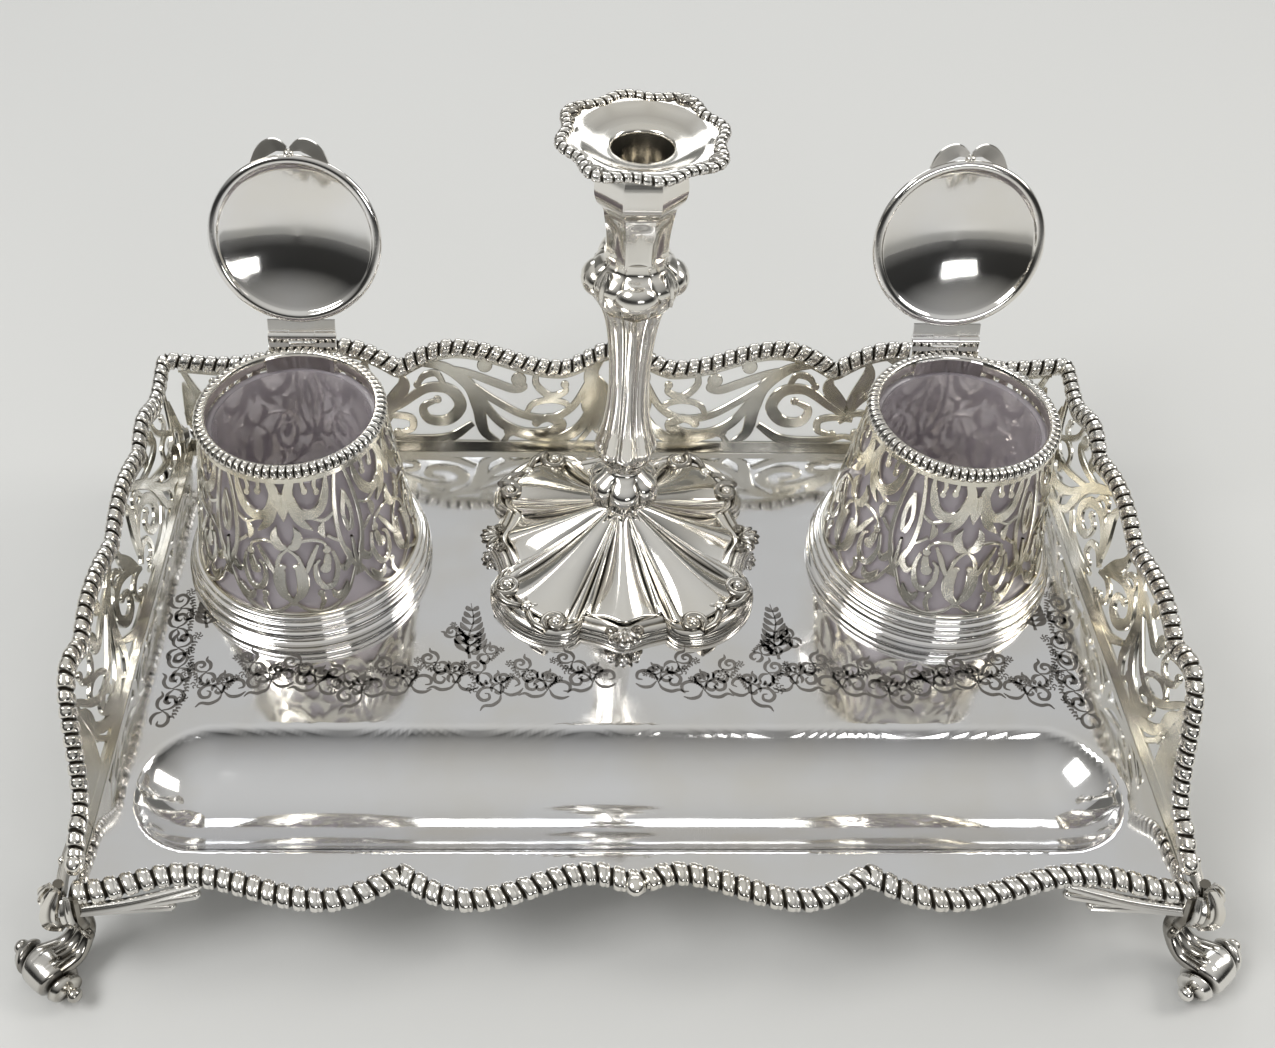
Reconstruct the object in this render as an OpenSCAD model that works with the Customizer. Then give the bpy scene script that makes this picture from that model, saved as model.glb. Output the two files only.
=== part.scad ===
// Silver desk inkstand: a footed tray with a pen trough and a pierced gallery,
// two lidded ink pots with glass liners, and a taper stick with a loose nozzle.
// Origin: centre of the outline, on the table. X runs along the tray, Y to the back.

/* [Tray] */
// Length of the deck between the end galleries
deck_length = 300; // [250:1:360]
// Depth of the deck from its front edge to the back gallery
deck_depth = 168; // [150:1:205]
// Height of the deck's top face above the table
deck_height = 31.5; // [26:0.5:40]
// Thickness of the deck's sheet
deck_sheet = 1.4; // [1:0.1:2]
// Depth of the waves in the front edge
front_wave = 8; // [5:0.5:9]

/* [Pen trough] */
// Half of the trough's width at the deck
trough_half_width = 20; // [14:0.5:22]
// Depth of the trough below the deck
trough_depth = 12; // [8:0.5:14]
// Distance from the trough's end to the end of the deck
trough_end_margin = 9.6; // [6:0.2:30]
// Distance from the trough's front edge to the deck's front line
trough_front_margin = 7.5; // [7:0.5:12]

/* [Gallery] */
// Thickness of the gallery's sheet
gallery_sheet = 1.2; // [0.8:0.1:2]
// Height of the corners above the deck
corner_height = 41; // [36:0.5:50]
// Height of the back panel's low points, along its slope
back_low = 35; // [30:0.5:40]
// Height of the back panel's humps, along its slope
back_peak = 42.5; // [38:0.5:48]
// Height of the end panels' low points, along their slope
end_low = 33.8; // [28:0.5:38]
// Height of the end panels' humps, along their slope
end_peak = 37.3; // [32:0.5:42]
// Height of the end panels where they reach the front
front_height = 6; // [4:0.5:12]
// Outward lean of the back panel
back_splay = 16; // [5:1:20]
// Outward lean of the end panels
end_splay = 10.5; // [5:0.5:20]
// Width of the solid strip along the foot of each panel
foot_strip = 4.2; // [3:0.1:6]
// Width of the bars between the piercings
bar_width = 2; // [1.4:0.1:3]
// Length of deck that one pierced ring takes up
ring_pitch = 25; // [18:0.5:34]

/* [Border] */
// Width of the reeded border
border_width = 5.6; // [4:0.1:7]
// Thickness of the reeded border
border_thick = 4.2; // [3:0.1:6]
// Distance from one reed to the next
reed_pitch = 4.3; // [3:0.1:6]
// Height of a reed's crown
reed_rise = 0.5; // [0.2:0.05:0.8]

/* [Feet] */
// Distance from the deck's corner out to the foot, along X
foot_out_x = 11; // [6:0.5:16]
// Distance from the deck's corner out to the foot, along Y
foot_out_y = 15; // [8:0.5:18]
// Radius of the rolled foot at its middle
roll_radius = 6; // [4.5:0.25:7]
// Length of the rolled foot from tip to tip
roll_length = 27; // [20:0.5:34]
// Radius of the leg
leg_radius = 3; // [2:0.1:4]
// Length of the leaf along the front and the back
leaf_length = 38; // [26:1:50]
// Length of the leaf along the ends
side_leaf_length = 26; // [18:1:40]
// Height of a leaf at the corner
leaf_height = 14; // [10:0.5:18]

/* [Ink pots] */
// Gap on the deck between a pot's foot and the end gallery
pot_end_gap = 9.3; // [4:0.1:20]
// Gap on the deck between a pot's foot and the back gallery
pot_back_gap = 11.6; // [6:0.1:20]
// Height of a pot from the deck to the top of its rim
pot_height = 65.7; // [55:0.1:80]
// Outer radius of the drum at its foot
drum_foot_radius = 36.4; // [33.5:0.1:44]
// Outer radius of the drum at its top
drum_top_radius = 28.2; // [23:0.1:34]
// Thickness of the drum's wall
drum_wall = 1; // [0.8:0.1:1.6]
// How far the foot's moulding stands out past the drum
foot_moulding_width = 2.9; // [2.4:0.1:5]
// Height of the moulding around a pot's foot
foot_moulding_height = 11; // [8:0.5:14]
// How far the rim's reeds stand out past the drum
rim_overhang = 0.8; // [0.4:0.1:2]
// How far the mouth lies in from the drum's outside
mouth_inset = 3; // [2:0.1:5]
// Height of the rim
rim_height = 4.2; // [3:0.1:6]
// Number of reeds around the rim
rim_reeds = 76; // [48:1:96]
// Thickness of the plate that closes the foot
base_plate_thick = 1.2; // [0.8:0.1:2]
// How far the ring on the deck lies in from the drum's outside
pot_ring_inset = 3.4; // [2.6:0.1:8]
// Height of the rings on the deck
collar_height = 2.2; // [1.5:0.1:2.8]
// Gap between a ring on the deck and the foot around it
collar_gap = 0.35; // [0.3:0.05:0.6]

/* [Glass liners] */
// Gap between the glass and the drum
liner_gap = 0.4; // [0.3:0.05:1]
// Thickness of the glass wall
liner_wall = 2.2; // [1.5:0.1:3]
// Thickness of the glass floor
liner_floor = 3; // [2:0.1:5]
// Distance from the top of the glass down to the underside of the rim
liner_drop = 2; // [1.5:0.1:6]

/* [Lids] */
// How far a lid reaches past the mouth
lid_overlap = 1.2; // [0.8:0.1:2.4]
// Thickness of a lid's edge
lid_edge = 2.4; // [1.8:0.1:3.5]
// Height of the dome above the lid's edge
lid_dome = 5; // [3:0.1:8]
// Thickness of the lid's sheet
lid_sheet = 1; // [0.7:0.1:1.5]
// Width of the flat ring under a lid
lid_seat = 3.4; // [2.4:0.1:5]
// Gap between a closed lid and the rim
lid_gap = 0.25; // [0.2:0.05:0.5]
// Angle that a lid opens through
lid_open = 107; // [90:1:110]
// Width of the thumbpiece
thumb_width = 20; // [14:0.5:26]
// Thickness of the thumbpiece
thumb_thick = 1.6; // [1.2:0.1:2.4]

/* [Hinges] */
// Radius of a hinge barrel
barrel_radius = 1.75; // [1.6:0.05:2.2]
// Radius of a hinge pin
pin_radius = 0.8; // [0.6:0.05:1]
// Radial clearance of a lid's knuckle on the pin
pin_clearance = 0.05; // [0.02:0.01:0.1]
// Length of a hinge barrel
barrel_length = 21; // [16:0.5:26]
// Length of a lid's knuckle
knuckle_length = 8; // [6:0.5:12]
// Gap between neighbouring knuckles
knuckle_gap = 0.2; // [0.1:0.05:0.4]
// Gap between the hinge barrel and the rim
barrel_gap = 0.55; // [0.4:0.05:1.5]
// Height of the barrel's axis above the underside of a closed lid
barrel_lift = 1.4; // [1.2:0.1:1.8]
// Thickness of the hinge leaves
hinge_leaf = 1; // [0.8:0.1:1.4]

/* [Taper stick] */
// Gap on the deck between the stick's foot and the back gallery
stick_back_gap = 0.5; // [0.4:0.1:10]
// Radius of the foot at its four shells
stick_shell_radius = 46.5; // [44:0.5:52]
// Radius of the foot at its hollows
stick_waist_radius = 41.5; // [40:0.5:44]
// Radius of the foot at its four corner lobes
stick_lobe_radius = 50.5; // [46:0.5:54]
// Height of the moulding around the foot
stick_moulding_height = 6; // [4:0.5:8]
// Radius of the ring on the deck that locates the stick
stick_collar_radius = 36; // [30:0.5:37]
// Height of the foot's dome above the deck
dome_height = 20; // [14:0.5:26]
// Thickness of the foot's sheet
dome_sheet = 1.2; // [0.8:0.1:2]
// Radius of the knop
knop_radius = 11.7; // [9:0.1:14]
// Height of the knop
knop_height = 20.5; // [16:0.5:26]
// Height of the fluted stem
stem_height = 62; // [45:0.5:90]
// Radius of the stem at its waist
stem_radius = 5.9; // [5:0.1:8]
// Radius of the bulge at the stem's foot
stem_foot_radius = 9.5; // [7:0.1:11]
// Radius of the stem's top, under the shoulder
stem_top_radius = 9.6; // [8:0.1:12]
// Height of the shoulder
shoulder_height = 18; // [12:0.5:24]
// Radius of the shoulder at its lobes
shoulder_radius = 15.8; // [13:0.1:19]
// Height of the faceted socket
socket_height = 31; // [24:0.5:40]
// Radius of the socket at its waist
socket_waist_radius = 8.95; // [8:0.05:10]
// Wall of the socket at its bulge
socket_bulge_wall = 3.95; // [3:0.05:6]
// Wall of the socket at its mouth
socket_mouth_wall = 2.85; // [2:0.05:4]

/* [Nozzle] */
// Radius of the hole that holds the taper
taper_radius = 8.15; // [6:0.05:10]
// Thickness of the nozzle's sleeve
sleeve_wall = 0.9; // [0.6:0.1:1.2]
// Length of the nozzle's sleeve
sleeve_length = 15; // [10:0.5:18]
// Gap between the sleeve and the socket
sleeve_gap = 0.3; // [0.2:0.05:0.5]
// Mean radius of the nozzle's shaped edge
pan_radius = 22.6; // [19:0.1:27]
// Depth of the waves in the nozzle's edge
pan_wave = 1.9; // [0.5:0.1:2.5]
// Height of the nozzle above the socket
pan_height = 6; // [4:0.5:9]

/* [Hidden] */

round_fn = 32;
half_length = deck_length / 2;
half_depth = deck_depth / 2;
pot_foot_radius = drum_foot_radius + foot_moulding_width;
pot_collar_radius = drum_foot_radius - pot_ring_inset;
rim_radius = drum_top_radius + rim_overhang;
mouth_radius = drum_top_radius - mouth_inset;
lid_radius = mouth_radius + lid_overlap;
pot_x = half_length - pot_foot_radius - pot_end_gap;
pot_y = half_depth - pot_foot_radius - pot_back_gap;
stick_y = half_depth - stick_shell_radius - stick_back_gap;
// Where the back and end panels meet, for each unit of height.
corner_x_slope = tan(end_splay);
corner_y_slope = tan(back_splay);
back_corner = corner_height / cos(back_splay);
end_corner = corner_height / cos(end_splay);
// How far the front border's hollows are set in from the deck's front line.
front_set_in = 3;
// Innermost line of the front border's outer edge.
front_line = half_depth - front_set_in + border_width / 2;
// Thin slices of air that cuts reach past a face.
cut_over = 1;

// Each knot of an outline is a place from 0 to 1, a height, and 1 for a sharp cusp.
back_knots = [
  [0, back_peak, 0], [0.13, back_low, 0], [0.36, back_peak, 0], [0.485, back_low - 0.6, 1],
  [0.61, back_peak, 0], [0.87, back_low + 0.4, 0], [1, back_corner, 0]
];
end_knots = [
  [0, front_height, 0], [0.06, front_height + 3.6, 0], [0.25, end_peak - 0.6, 0],
  [0.3, end_low, 1], [0.4, end_peak, 0], [0.52, end_low, 1], [0.635, end_peak, 0],
  [0.742, end_low, 1], [0.81, end_peak, 0], [0.895, end_low - 0.4, 0], [1, end_corner, 0]
];
front_knots = [
  [0, 0.3, 0], [0.075, 0, 0], [0.3, 1, 0], [0.425, 0.05, 1], [0.56, 1, 0], [0.82, 0.05, 0], [1, 0.7, 0]
];

function ease(t, from_cusp, to_cusp) =
  from_cusp == 1 ? sin(90 * t) : to_cusp == 1 ? 1 - cos(90 * t) : (1 - cos(180 * t)) / 2;
function span_value(k, i, u) =
  let (t = (u - k[i][0]) / (k[i + 1][0] - k[i][0]))
  k[i][1] + (k[i + 1][1] - k[i][1]) * ease(t, k[i][2], k[i + 1][2]);
function knot_value(k, u) =
  span_value(k, max([for (j = [0:len(k) - 2]) k[j][0] <= u ? j : 0]), u);
function unit(v) = v / norm(v);
function left_normal(a, b) = unit([a[1] - b[1], b[0] - a[0]]);
function shifted(path, distance) = [
  for (i = [0:len(path) - 1])
    path[i] + distance * left_normal(path[max(i - 1, 0)], path[min(i + 1, len(path) - 1)])
];
// Two steps of an edge that turn by more than this make a cusp, where reeds stay flat.
cusp_turn = 0.02;
function turn_at(path, i) =
  i < 1 || i > len(path) - 2 ? 0 : norm(unit(path[i + 1] - path[i]) - unit(path[i] - path[i - 1]));
function sharp_near(path, i) = max([for (j = [-2:2]) turn_at(path, i + j)]) > 8 * cusp_turn;
// An edge with one rounded crown for each reed.
function reeded(path) = [
  for (i = [0:len(path) - 1])
    path[i] + (sharp_near(path, i) ? 0 : reed_rise) * abs(sin(180 * i / per_reed))
      * left_normal(path[max(i - 1, 0)], path[min(i + 1, len(path) - 1)])
];
function backwards(path) = [for (i = [len(path) - 1:-1:0]) path[i]];

per_reed = 4;
back_steps = per_reed * round(2 * half_length / reed_pitch);
end_steps = per_reed * round(deck_depth * 1.12 / reed_pitch);
front_steps = per_reed * round(2 * half_length / reed_pitch);

// Top edges run from left to right, so that their left normal points outwards.
function back_edge() = [
  for (i = [0:back_steps])
    let (u = 2 * i / back_steps - 1, t = knot_value(back_knots, abs(u)),
      reach = half_length + back_corner * cos(back_splay) * corner_x_slope)
    [u * reach, t]
];
function end_edge() = [
  for (i = [0:end_steps])
    let (u = i / end_steps, t = knot_value(end_knots, u),
      reach = half_depth + corner_height * corner_y_slope)
    [-half_depth + u * (reach + half_depth), t]
];
// The front edge runs from right to left, so its left normal points to the front.
function front_edge() = [
  for (i = [0:front_steps])
    let (u = 1 - 2 * i / front_steps)
    [u * half_length, -front_line - front_wave * knot_value(front_knots, abs(u))]
];

module band(edge) {
  polygon(concat(reeded(edge), backwards(shifted(edge, -border_width))));
}

module panel_outline(edge, low_start, low_end) {
  polygon(concat([[low_end, 0], [low_start, 0]], shifted(edge, -border_width)));
}

// A curl of sheet that narrows as it turns inwards.
function curl_point(r, a, centre) = centre + r * [cos(a), sin(a)];
module curl(centre, start, turn, outer, inner, width) {
  steps = 12;
  polygon(concat(
    [for (i = [0:steps])
      curl_point(outer + (inner - outer) * i / steps + width / 2, start + turn * i / steps, centre)],
    [for (i = [steps:-1:0])
      curl_point(outer + (inner - outer) * i / steps - width / 2 * (1.2 - 0.4 * i / steps),
        start + turn * i / steps, centre)]
  ));
}

module leaf_shape(length, width) {
  r = (length * length + width * width) / (4 * width);
  intersection() {
    translate([r - width / 2, 0]) circle(r = r, $fn = round_fn);
    translate([width / 2 - r, 0]) circle(r = r, $fn = round_fn);
  }
}

module ring_2d(r, width) {
  difference() {
    circle(r = r + width / 2, $fn = round_fn);
    circle(r = r - width / 2, $fn = round_fn);
  }
}

// Rings, curls and leaves that fill a strip from x = from_x to x = to_x.
module scrollwork(from_x, to_x, top) {
  count = round((to_x - from_x) / ring_pitch);
  pitch = (to_x - from_x) / count;
  r = pitch / 2;
  middle = foot_strip + r - bar_width / 2;
  for (i = [0:count - 1]) {
    x = from_x + pitch * (i + 0.5);
    side = i % 2 == 0 ? 1 : -1;
    translate([x, middle]) ring_2d(r, bar_width);
    curl([x, middle], 90 - side * 90, side * 400, r, r * 0.28, bar_width);
    translate([x, middle + r + (top - middle - r) / 2]) leaf_shape(top - middle - r + 2 * bar_width, 6);
  }
  for (i = [0:count])
    translate([from_x + pitch * i, middle + r * 0.75]) leaf_shape(2 * (top - middle - r * 0.5), 5);
}

module rim_strips(edge, low_start, low_end) {
  difference() {
    panel_outline(edge, low_start, low_end);
    polygon(concat([[low_end, foot_strip], [low_start, foot_strip]],
      shifted(edge, -border_width - bar_width)));
  }
}

// A pierced sheet: its strips, the scrollwork between them and a solid stretch before from_x.
module pierced_sheet(edge, low_start, low_end, from_x, to_x, top) {
  offset(delta = 0.01) {
    rim_strips(edge, low_start, low_end);
    intersection() {
      panel_outline(edge, low_start, low_end);
      union() {
        scrollwork(from_x, to_x, top);
        translate([low_start - 1, 0]) square([from_x - low_start + 1 + bar_width / 2, top]);
      }
    }
  }
}

module on_back() {
  translate([0, half_depth, deck_height]) rotate([90 - back_splay, 0, 0]) mirror([0, 0, 1]) children();
}

// side is 1 for the right end and -1 for the left end.
module on_end(side) {
  translate([side * half_length, 0, deck_height])
    mirror([side < 0 ? 1 : 0, 0, 0])
      rotate([90, 0, 90]) rotate([end_splay, 0, 0]) children();
}

module back_sheet() {
  color("silver") on_back() linear_extrude(gallery_sheet)
    pierced_sheet(back_edge(), -half_length, half_length, -half_length, half_length, back_peak);
}

module end_sheet(side) {
  pierced_from = -half_depth + deck_depth * 0.21;
  color("silver") on_end(side) linear_extrude(gallery_sheet)
    pierced_sheet(end_edge(), -half_depth, half_depth, pierced_from, half_depth, end_peak);
}

module back_band() {
  color("gainsboro") on_back() translate([0, 0, (gallery_sheet - border_thick) / 2])
    linear_extrude(border_thick) band(back_edge());
}

module end_band(side) {
  color("gainsboro") on_end(side) translate([0, 0, (gallery_sheet - border_thick) / 2])
    linear_extrude(border_thick) band(end_edge());
}

module front_band() {
  color("gainsboro") translate([0, 0, deck_height - (deck_sheet + border_thick) / 2])
    linear_extrude(border_thick) band(front_edge());
}

// The deck reaches out under the gallery's sheets.
flange = gallery_sheet + 0.4;
// Radius of the trough's round section, from its width and depth.
trough_r = (trough_half_width * trough_half_width + trough_depth * trough_depth) / (2 * trough_depth);
trough_y = -half_depth + trough_front_margin + trough_half_width;
trough_end_x = half_length - trough_end_margin - trough_half_width;
trough_z = deck_height + trough_r - trough_depth;

// The pen trough's space, or its shell when grown by the sheet.
module trough_space(grow, top) {
  intersection() {
    union() {
      translate([-trough_end_x, trough_y, trough_z]) rotate([0, 90, 0])
        cylinder(r = trough_r + grow, h = 2 * trough_end_x, $fn = 96);
      for (x = [-trough_end_x, trough_end_x])
        translate([x, trough_y, trough_z]) sphere(r = trough_r + grow, $fn = 96);
    }
    translate([-half_length, trough_y - 2 * trough_half_width, 0])
      cube([deck_length, 4 * trough_half_width, top]);
  }
}

module tray_plate() {
  color("silver") difference() {
    union() {
      translate([0, 0, deck_height - deck_sheet]) linear_extrude(deck_sheet) {
        polygon(concat([[-half_length, half_depth], [half_length, half_depth]],
          shifted(front_edge(), -border_width)));
        translate([-half_length - flange, -half_depth + border_width])
          square([deck_length + 2 * flange, deck_depth - border_width + flange]);
      }
      trough_space(deck_sheet, deck_height - deck_sheet / 2);
    }
    trough_space(0, deck_height + cut_over);
  }
}

module collar(r) {
  color("silver") translate([0, 0, deck_height]) difference() {
    cylinder(r = r, h = collar_height, $fn = 96);
    translate([0, 0, -cut_over]) cylinder(r = r - 2, h = collar_height + 2 * cut_over, $fn = 96);
  }
}

roll_rise = roll_radius - 0.5;
foot_x = half_length + foot_out_x;
foot_y = half_depth + foot_out_y;
foot_turn = 38;
leg_top = deck_height - deck_sheet;
// Where the legs meet the deck, in from its corner.
leg_in = 4;
leaf_thick = 2.4;
leaf_base = deck_height - leaf_height + 2;

// A rolled foot: a tapering roll with collars and ball ends, flat where it stands.
module foot_roll() {
  tip = roll_length / 2;
  half = [
    [0, tip], [1.8, tip - 0.6], [2.3, tip - 2], [1.8, tip - 3.4], [roll_radius * 0.55, tip - 4.2],
    [roll_radius * 0.72, tip - 6.6], [roll_radius * 0.6, tip - 7.4], [roll_radius * 0.92, tip - 8.6]
  ];
  intersection() {
    translate([0, 0, roll_rise]) rotate([0, 90, 0]) rotate_extrude($fn = 64)
      polygon(concat(half, [[roll_radius, 0]], [for (p = backwards(half)) [p[0], -p[1]]]));
    translate([-roll_length, -roll_length, 0]) cube([2 * roll_length, 2 * roll_length, deck_height]);
  }
}

// The leg: back from the roll, a quarter turn upwards, then straight up to the deck.
module leg_arm(reach) {
  turn = min(reach * 0.6, leg_top - roll_rise - leg_radius);
  rotate([-90, 0, 0]) cylinder(r = leg_radius, h = reach - turn, $fn = 32);
  translate([0, reach - turn, turn]) rotate([90, 0, 90]) rotate([0, 0, -90])
    rotate_extrude(angle = 90, $fn = 64) translate([turn, 0]) circle(r = leg_radius, $fn = 32);
  translate([0, reach, turn]) cylinder(r = leg_radius, h = leg_top - roll_rise - turn, $fn = 32);
}

// A cast leaf that runs along an edge, its tip split into three lobes.
module leaf_plate(length) {
  h = leaf_height;
  linear_extrude(leaf_thick) polygon([
    [0, h * 0.1], [0, h], [length * 0.3, h * 0.98], [length * 0.62, h * 0.94],
    [length * 0.94, h * 0.86], [length, h * 0.7], [length * 0.9, h * 0.6],
    [length * 0.95, h * 0.46], [length * 0.84, h * 0.38], [length * 0.62, h * 0.38],
    [length * 0.7, h * 0.24], [length * 0.56, h * 0.14], [length * 0.3, h * 0.06]
  ]);
}

// One foot, drawn for the right front corner: roll, leg, two leaves and the corner's knee.
// The long leaf stands clear of the waved border; all four feet are castings of this one shape.
module corner_foot() {
  leaf_y = front_wave * 0.7 + border_width + reed_rise - 0.1;
  in_x = foot_out_x + leg_in;
  in_y = foot_out_y + leg_in;
  front_y = -half_depth - leaf_y;
  side_x = half_length + border_thick;
  color("gainsboro") {
    translate([foot_x, -foot_y, 0]) rotate([0, 0, foot_turn]) foot_roll();
    translate([foot_x, -foot_y, roll_rise]) rotate([0, 0, atan2(in_x, in_y)]) leg_arm(norm([in_x, in_y]));
    translate([half_length, front_y, leaf_base]) rotate([0, 0, -10])
      mirror([1, 0, 0]) rotate([90, 0, 0]) leaf_plate(leaf_length);
    translate([side_x, front_y + leaf_thick, leaf_base]) rotate([90, 0, 90]) leaf_plate(side_leaf_length);
    hull() {
      translate([half_length - 2, -half_depth + 1, leg_top - 8]) sphere(r = leg_radius, $fn = 24);
      translate([half_length + 1, front_y - leaf_thick / 2, leaf_base + 4]) sphere(r = 3, $fn = 24);
      translate([side_x + leaf_thick / 2, front_y + 4, leaf_base + 4]) sphere(r = 3, $fn = 24);
    }
  }
}

// Children are drawn for the right front corner; side and front are 1 or -1.
module at_corner(side, front) {
  mirror([side < 0 ? 1 : 0, 0, 0]) mirror([0, front < 0 ? 1 : 0, 0]) children();
}

// ---- Ink pots: each is drawn around its own axis, with the deck's top face at z = 0.
plate_z = collar_height + 1.2;
drum_z = plate_z + base_plate_thick;
drum_top = pot_height - rim_height;
drum_taper = (drum_foot_radius - drum_top_radius) / (drum_top - drum_z);
function drum_radius(z) = drum_foot_radius - drum_taper * (z - drum_z);
liner_top = drum_top - liner_drop;
hinge_y = rim_radius + barrel_gap + barrel_radius;
hinge_z = pot_height + lid_gap + barrel_lift;
leaf_start = barrel_radius + 0.4;
pot_fn = 96;

module at_pot(side) {
  translate([side * pot_x, pot_y, deck_height]) children();
}

module foot_moulding() {
  r = pot_foot_radius;
  h = foot_moulding_height;
  hold = pot_collar_radius + collar_gap;
  color("silver") rotate_extrude($fn = pot_fn) polygon([
    [hold, 0], [r, 0], [r, 1.6], [r - 0.5, 2.2], [r - 0.5, h * 0.4], [r - 1.1, h * 0.46],
    [r - 1.1, h * 0.62], [r - 1.7, h * 0.7], [r - 1.7, h * 0.86], [drum_radius(h) + 0.8, h],
    [drum_radius(h), h], [drum_foot_radius, drum_z], [drum_foot_radius, plate_z], [hold, plate_z]
  ]);
}

module base_plate() {
  color("silver") translate([0, 0, plate_z])
    cylinder(r = drum_foot_radius, h = base_plate_thick, $fn = pot_fn);
}

// Piercings of one sector of the drum, seen from outside: rows of round holes, small between large.
sectors = 8;
module drum_motif() {
  low = foot_moulding_height + 1.5;
  tall = drum_top - 2 - low;
  large = tall * 0.135;
  half_pitch = drum_top_radius * 0.29;
  for (row = [0:2]) {
    z = low + tall * (0.17 + 0.33 * row);
    taper = drum_radius(z) / drum_foot_radius;
    translate([0, z]) circle(r = large * taper, $fn = round_fn);
    for (m = [-1, 1])
      translate([m * half_pitch * taper, z + tall * 0.165]) circle(r = large * taper * 0.42, $fn = round_fn);
  }
}

module drum() {
  cut_from = drum_top_radius * 0.8;
  color("gainsboro") difference() {
    rotate_extrude($fn = pot_fn) polygon([
      [drum_foot_radius - drum_wall, drum_z], [drum_foot_radius, drum_z],
      [drum_top_radius, drum_top], [drum_top_radius - drum_wall, drum_top]
    ]);
    for (i = [0:sectors - 1])
      rotate([0, 0, 360 / sectors * (i + 0.5)]) translate([0, -cut_from, 0]) rotate([90, 0, 0])
        linear_extrude(drum_foot_radius + cut_over - cut_from) drum_motif();
  }
}

module rim() {
  steps = 4 * rim_reeds;
  color("silver") translate([0, 0, drum_top]) difference() {
    linear_extrude(rim_height) polygon([
      for (i = [0:steps - 1])
        (rim_radius - reed_rise * (1 - abs(sin(180 * i / 4)))) * [cos(360 * i / steps), sin(360 * i / steps)]
    ]);
    translate([0, 0, -cut_over]) cylinder(r = mouth_radius, h = rim_height + 2 * cut_over, $fn = pot_fn);
  }
}

module liner() {
  inner_foot = drum_foot_radius - drum_wall - liner_gap;
  inner_top = drum_radius(liner_top) - drum_wall - liner_gap;
  color([0.72, 0.68, 0.72, 0.6]) rotate_extrude($fn = pot_fn) polygon([
    [0, drum_z], [inner_foot - 1, drum_z], [inner_foot - drum_taper, drum_z + 1], [inner_top, liner_top - 1],
    [inner_top - 0.7, liner_top], [inner_top - liner_wall + 0.6, liner_top],
    [inner_top - liner_wall, liner_top - 1], [inner_foot - liner_wall - 0.6, drum_z + liner_floor + 1],
    [inner_foot - liner_wall - 2, drum_z + liner_floor], [0, drum_z + liner_floor]
  ]);
}

// Fixed knuckles at both ends of the barrel, with a strap down the back of the rim.
module hinge_plate() {
  end_length = (barrel_length - knuckle_length) / 2 - knuckle_gap;
  strap_y = rim_radius - 0.6;
  strap_top = hinge_z - leaf_start;
  color("silver") difference() {
    union() {
      for (m = [-1, 1])
        translate([m * (barrel_length - end_length) / 2, 0, 0]) {
          translate([0, hinge_y, hinge_z]) rotate([0, 90, 0])
            cylinder(r = barrel_radius, h = end_length, center = true, $fn = 32);
          translate([-end_length / 2, hinge_y - barrel_radius, strap_top - 2])
            cube([end_length, hinge_leaf, hinge_z - strap_top + 2]);
        }
      translate([-barrel_length / 2, strap_y, drum_top])
        cube([barrel_length, hinge_y - barrel_radius + hinge_leaf - strap_y, strap_top - drum_top]);
    }
    translate([0, hinge_y, hinge_z]) rotate([0, 90, 0])
      cylinder(r = pin_radius, h = barrel_length + cut_over, center = true, $fn = 32);
    translate([0, 0, drum_top - cut_over]) cylinder(r = rim_radius, h = 2 * rim_height, $fn = pot_fn);
  }
}

// A plate soldered inside the mouth, behind the hinge.
module hinge_backing() {
  deep = hinge_leaf;
  color("silver") translate([0, 0, liner_top + 0.6]) intersection() {
    difference() {
      cylinder(r = mouth_radius, h = pot_height - 0.6 - liner_top - 0.6, $fn = pot_fn);
      translate([0, 0, -cut_over]) cylinder(r = mouth_radius - deep, h = pot_height, $fn = pot_fn);
    }
    translate([-barrel_length / 2, 0, 0]) cube([barrel_length, mouth_radius, rim_height + liner_drop]);
  }
}

module hinge_pin() {
  color("silver") translate([0, hinge_y, hinge_z]) rotate([0, 90, 0])
    cylinder(r = pin_radius, h = barrel_length + 0.4, center = true, $fn = 32);
}

// Lids are drawn closed, then turned back about the hinge.
module opened() {
  translate([0, hinge_y, hinge_z]) rotate([-lid_open, 0, 0]) translate([0, -hinge_y, -hinge_z]) children();
}

// Half the outline of a low dome, from its middle out to radius r.
function dome_line(r, base, rise) = [
  for (i = [0:8]) [r * i / 8, base + rise * (1 - pow(i / 8, 2))]
];

module lid() {
  inner = lid_radius - lid_seat;
  seat = pot_height + lid_gap;
  color("silver") opened() translate([0, 0, seat]) rotate_extrude($fn = pot_fn)
    polygon(concat(
      dome_line(lid_radius - 1.4, lid_edge, lid_dome),
      [[lid_radius, lid_edge - 0.8], [lid_radius, 0.4], [lid_radius - 0.5, 0], [inner, 0], [inner, 0.9]],
      [for (p = backwards(dome_line(inner - 0.8, lid_edge - lid_sheet, lid_dome - 0.3))) p]
    ));
}

// The lid's half of the hinge: a leaf across the barrel's length and the middle knuckle.
module lid_leaf() {
  reach = hinge_y - leaf_start;
  leaf_in = lid_radius - 0.6;
  color("silver") opened() difference() {
    union() {
      translate([-barrel_length / 2, leaf_in, hinge_z - hinge_leaf / 2])
        cube([barrel_length, reach - leaf_in, hinge_leaf]);
      translate([-knuckle_length / 2, leaf_in, hinge_z - hinge_leaf / 2])
        cube([knuckle_length, hinge_y - leaf_in, hinge_leaf]);
      translate([0, hinge_y, hinge_z]) rotate([0, 90, 0])
        cylinder(r = barrel_radius, h = knuckle_length, center = true, $fn = 32);
    }
    translate([0, hinge_y, hinge_z]) rotate([0, 90, 0])
      cylinder(r = pin_radius + pin_clearance, h = knuckle_length + cut_over, center = true, $fn = 32);
    translate([0, 0, pot_height]) cylinder(r = lid_radius, h = 2 * lid_edge, $fn = pot_fn);
  }
}

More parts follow.
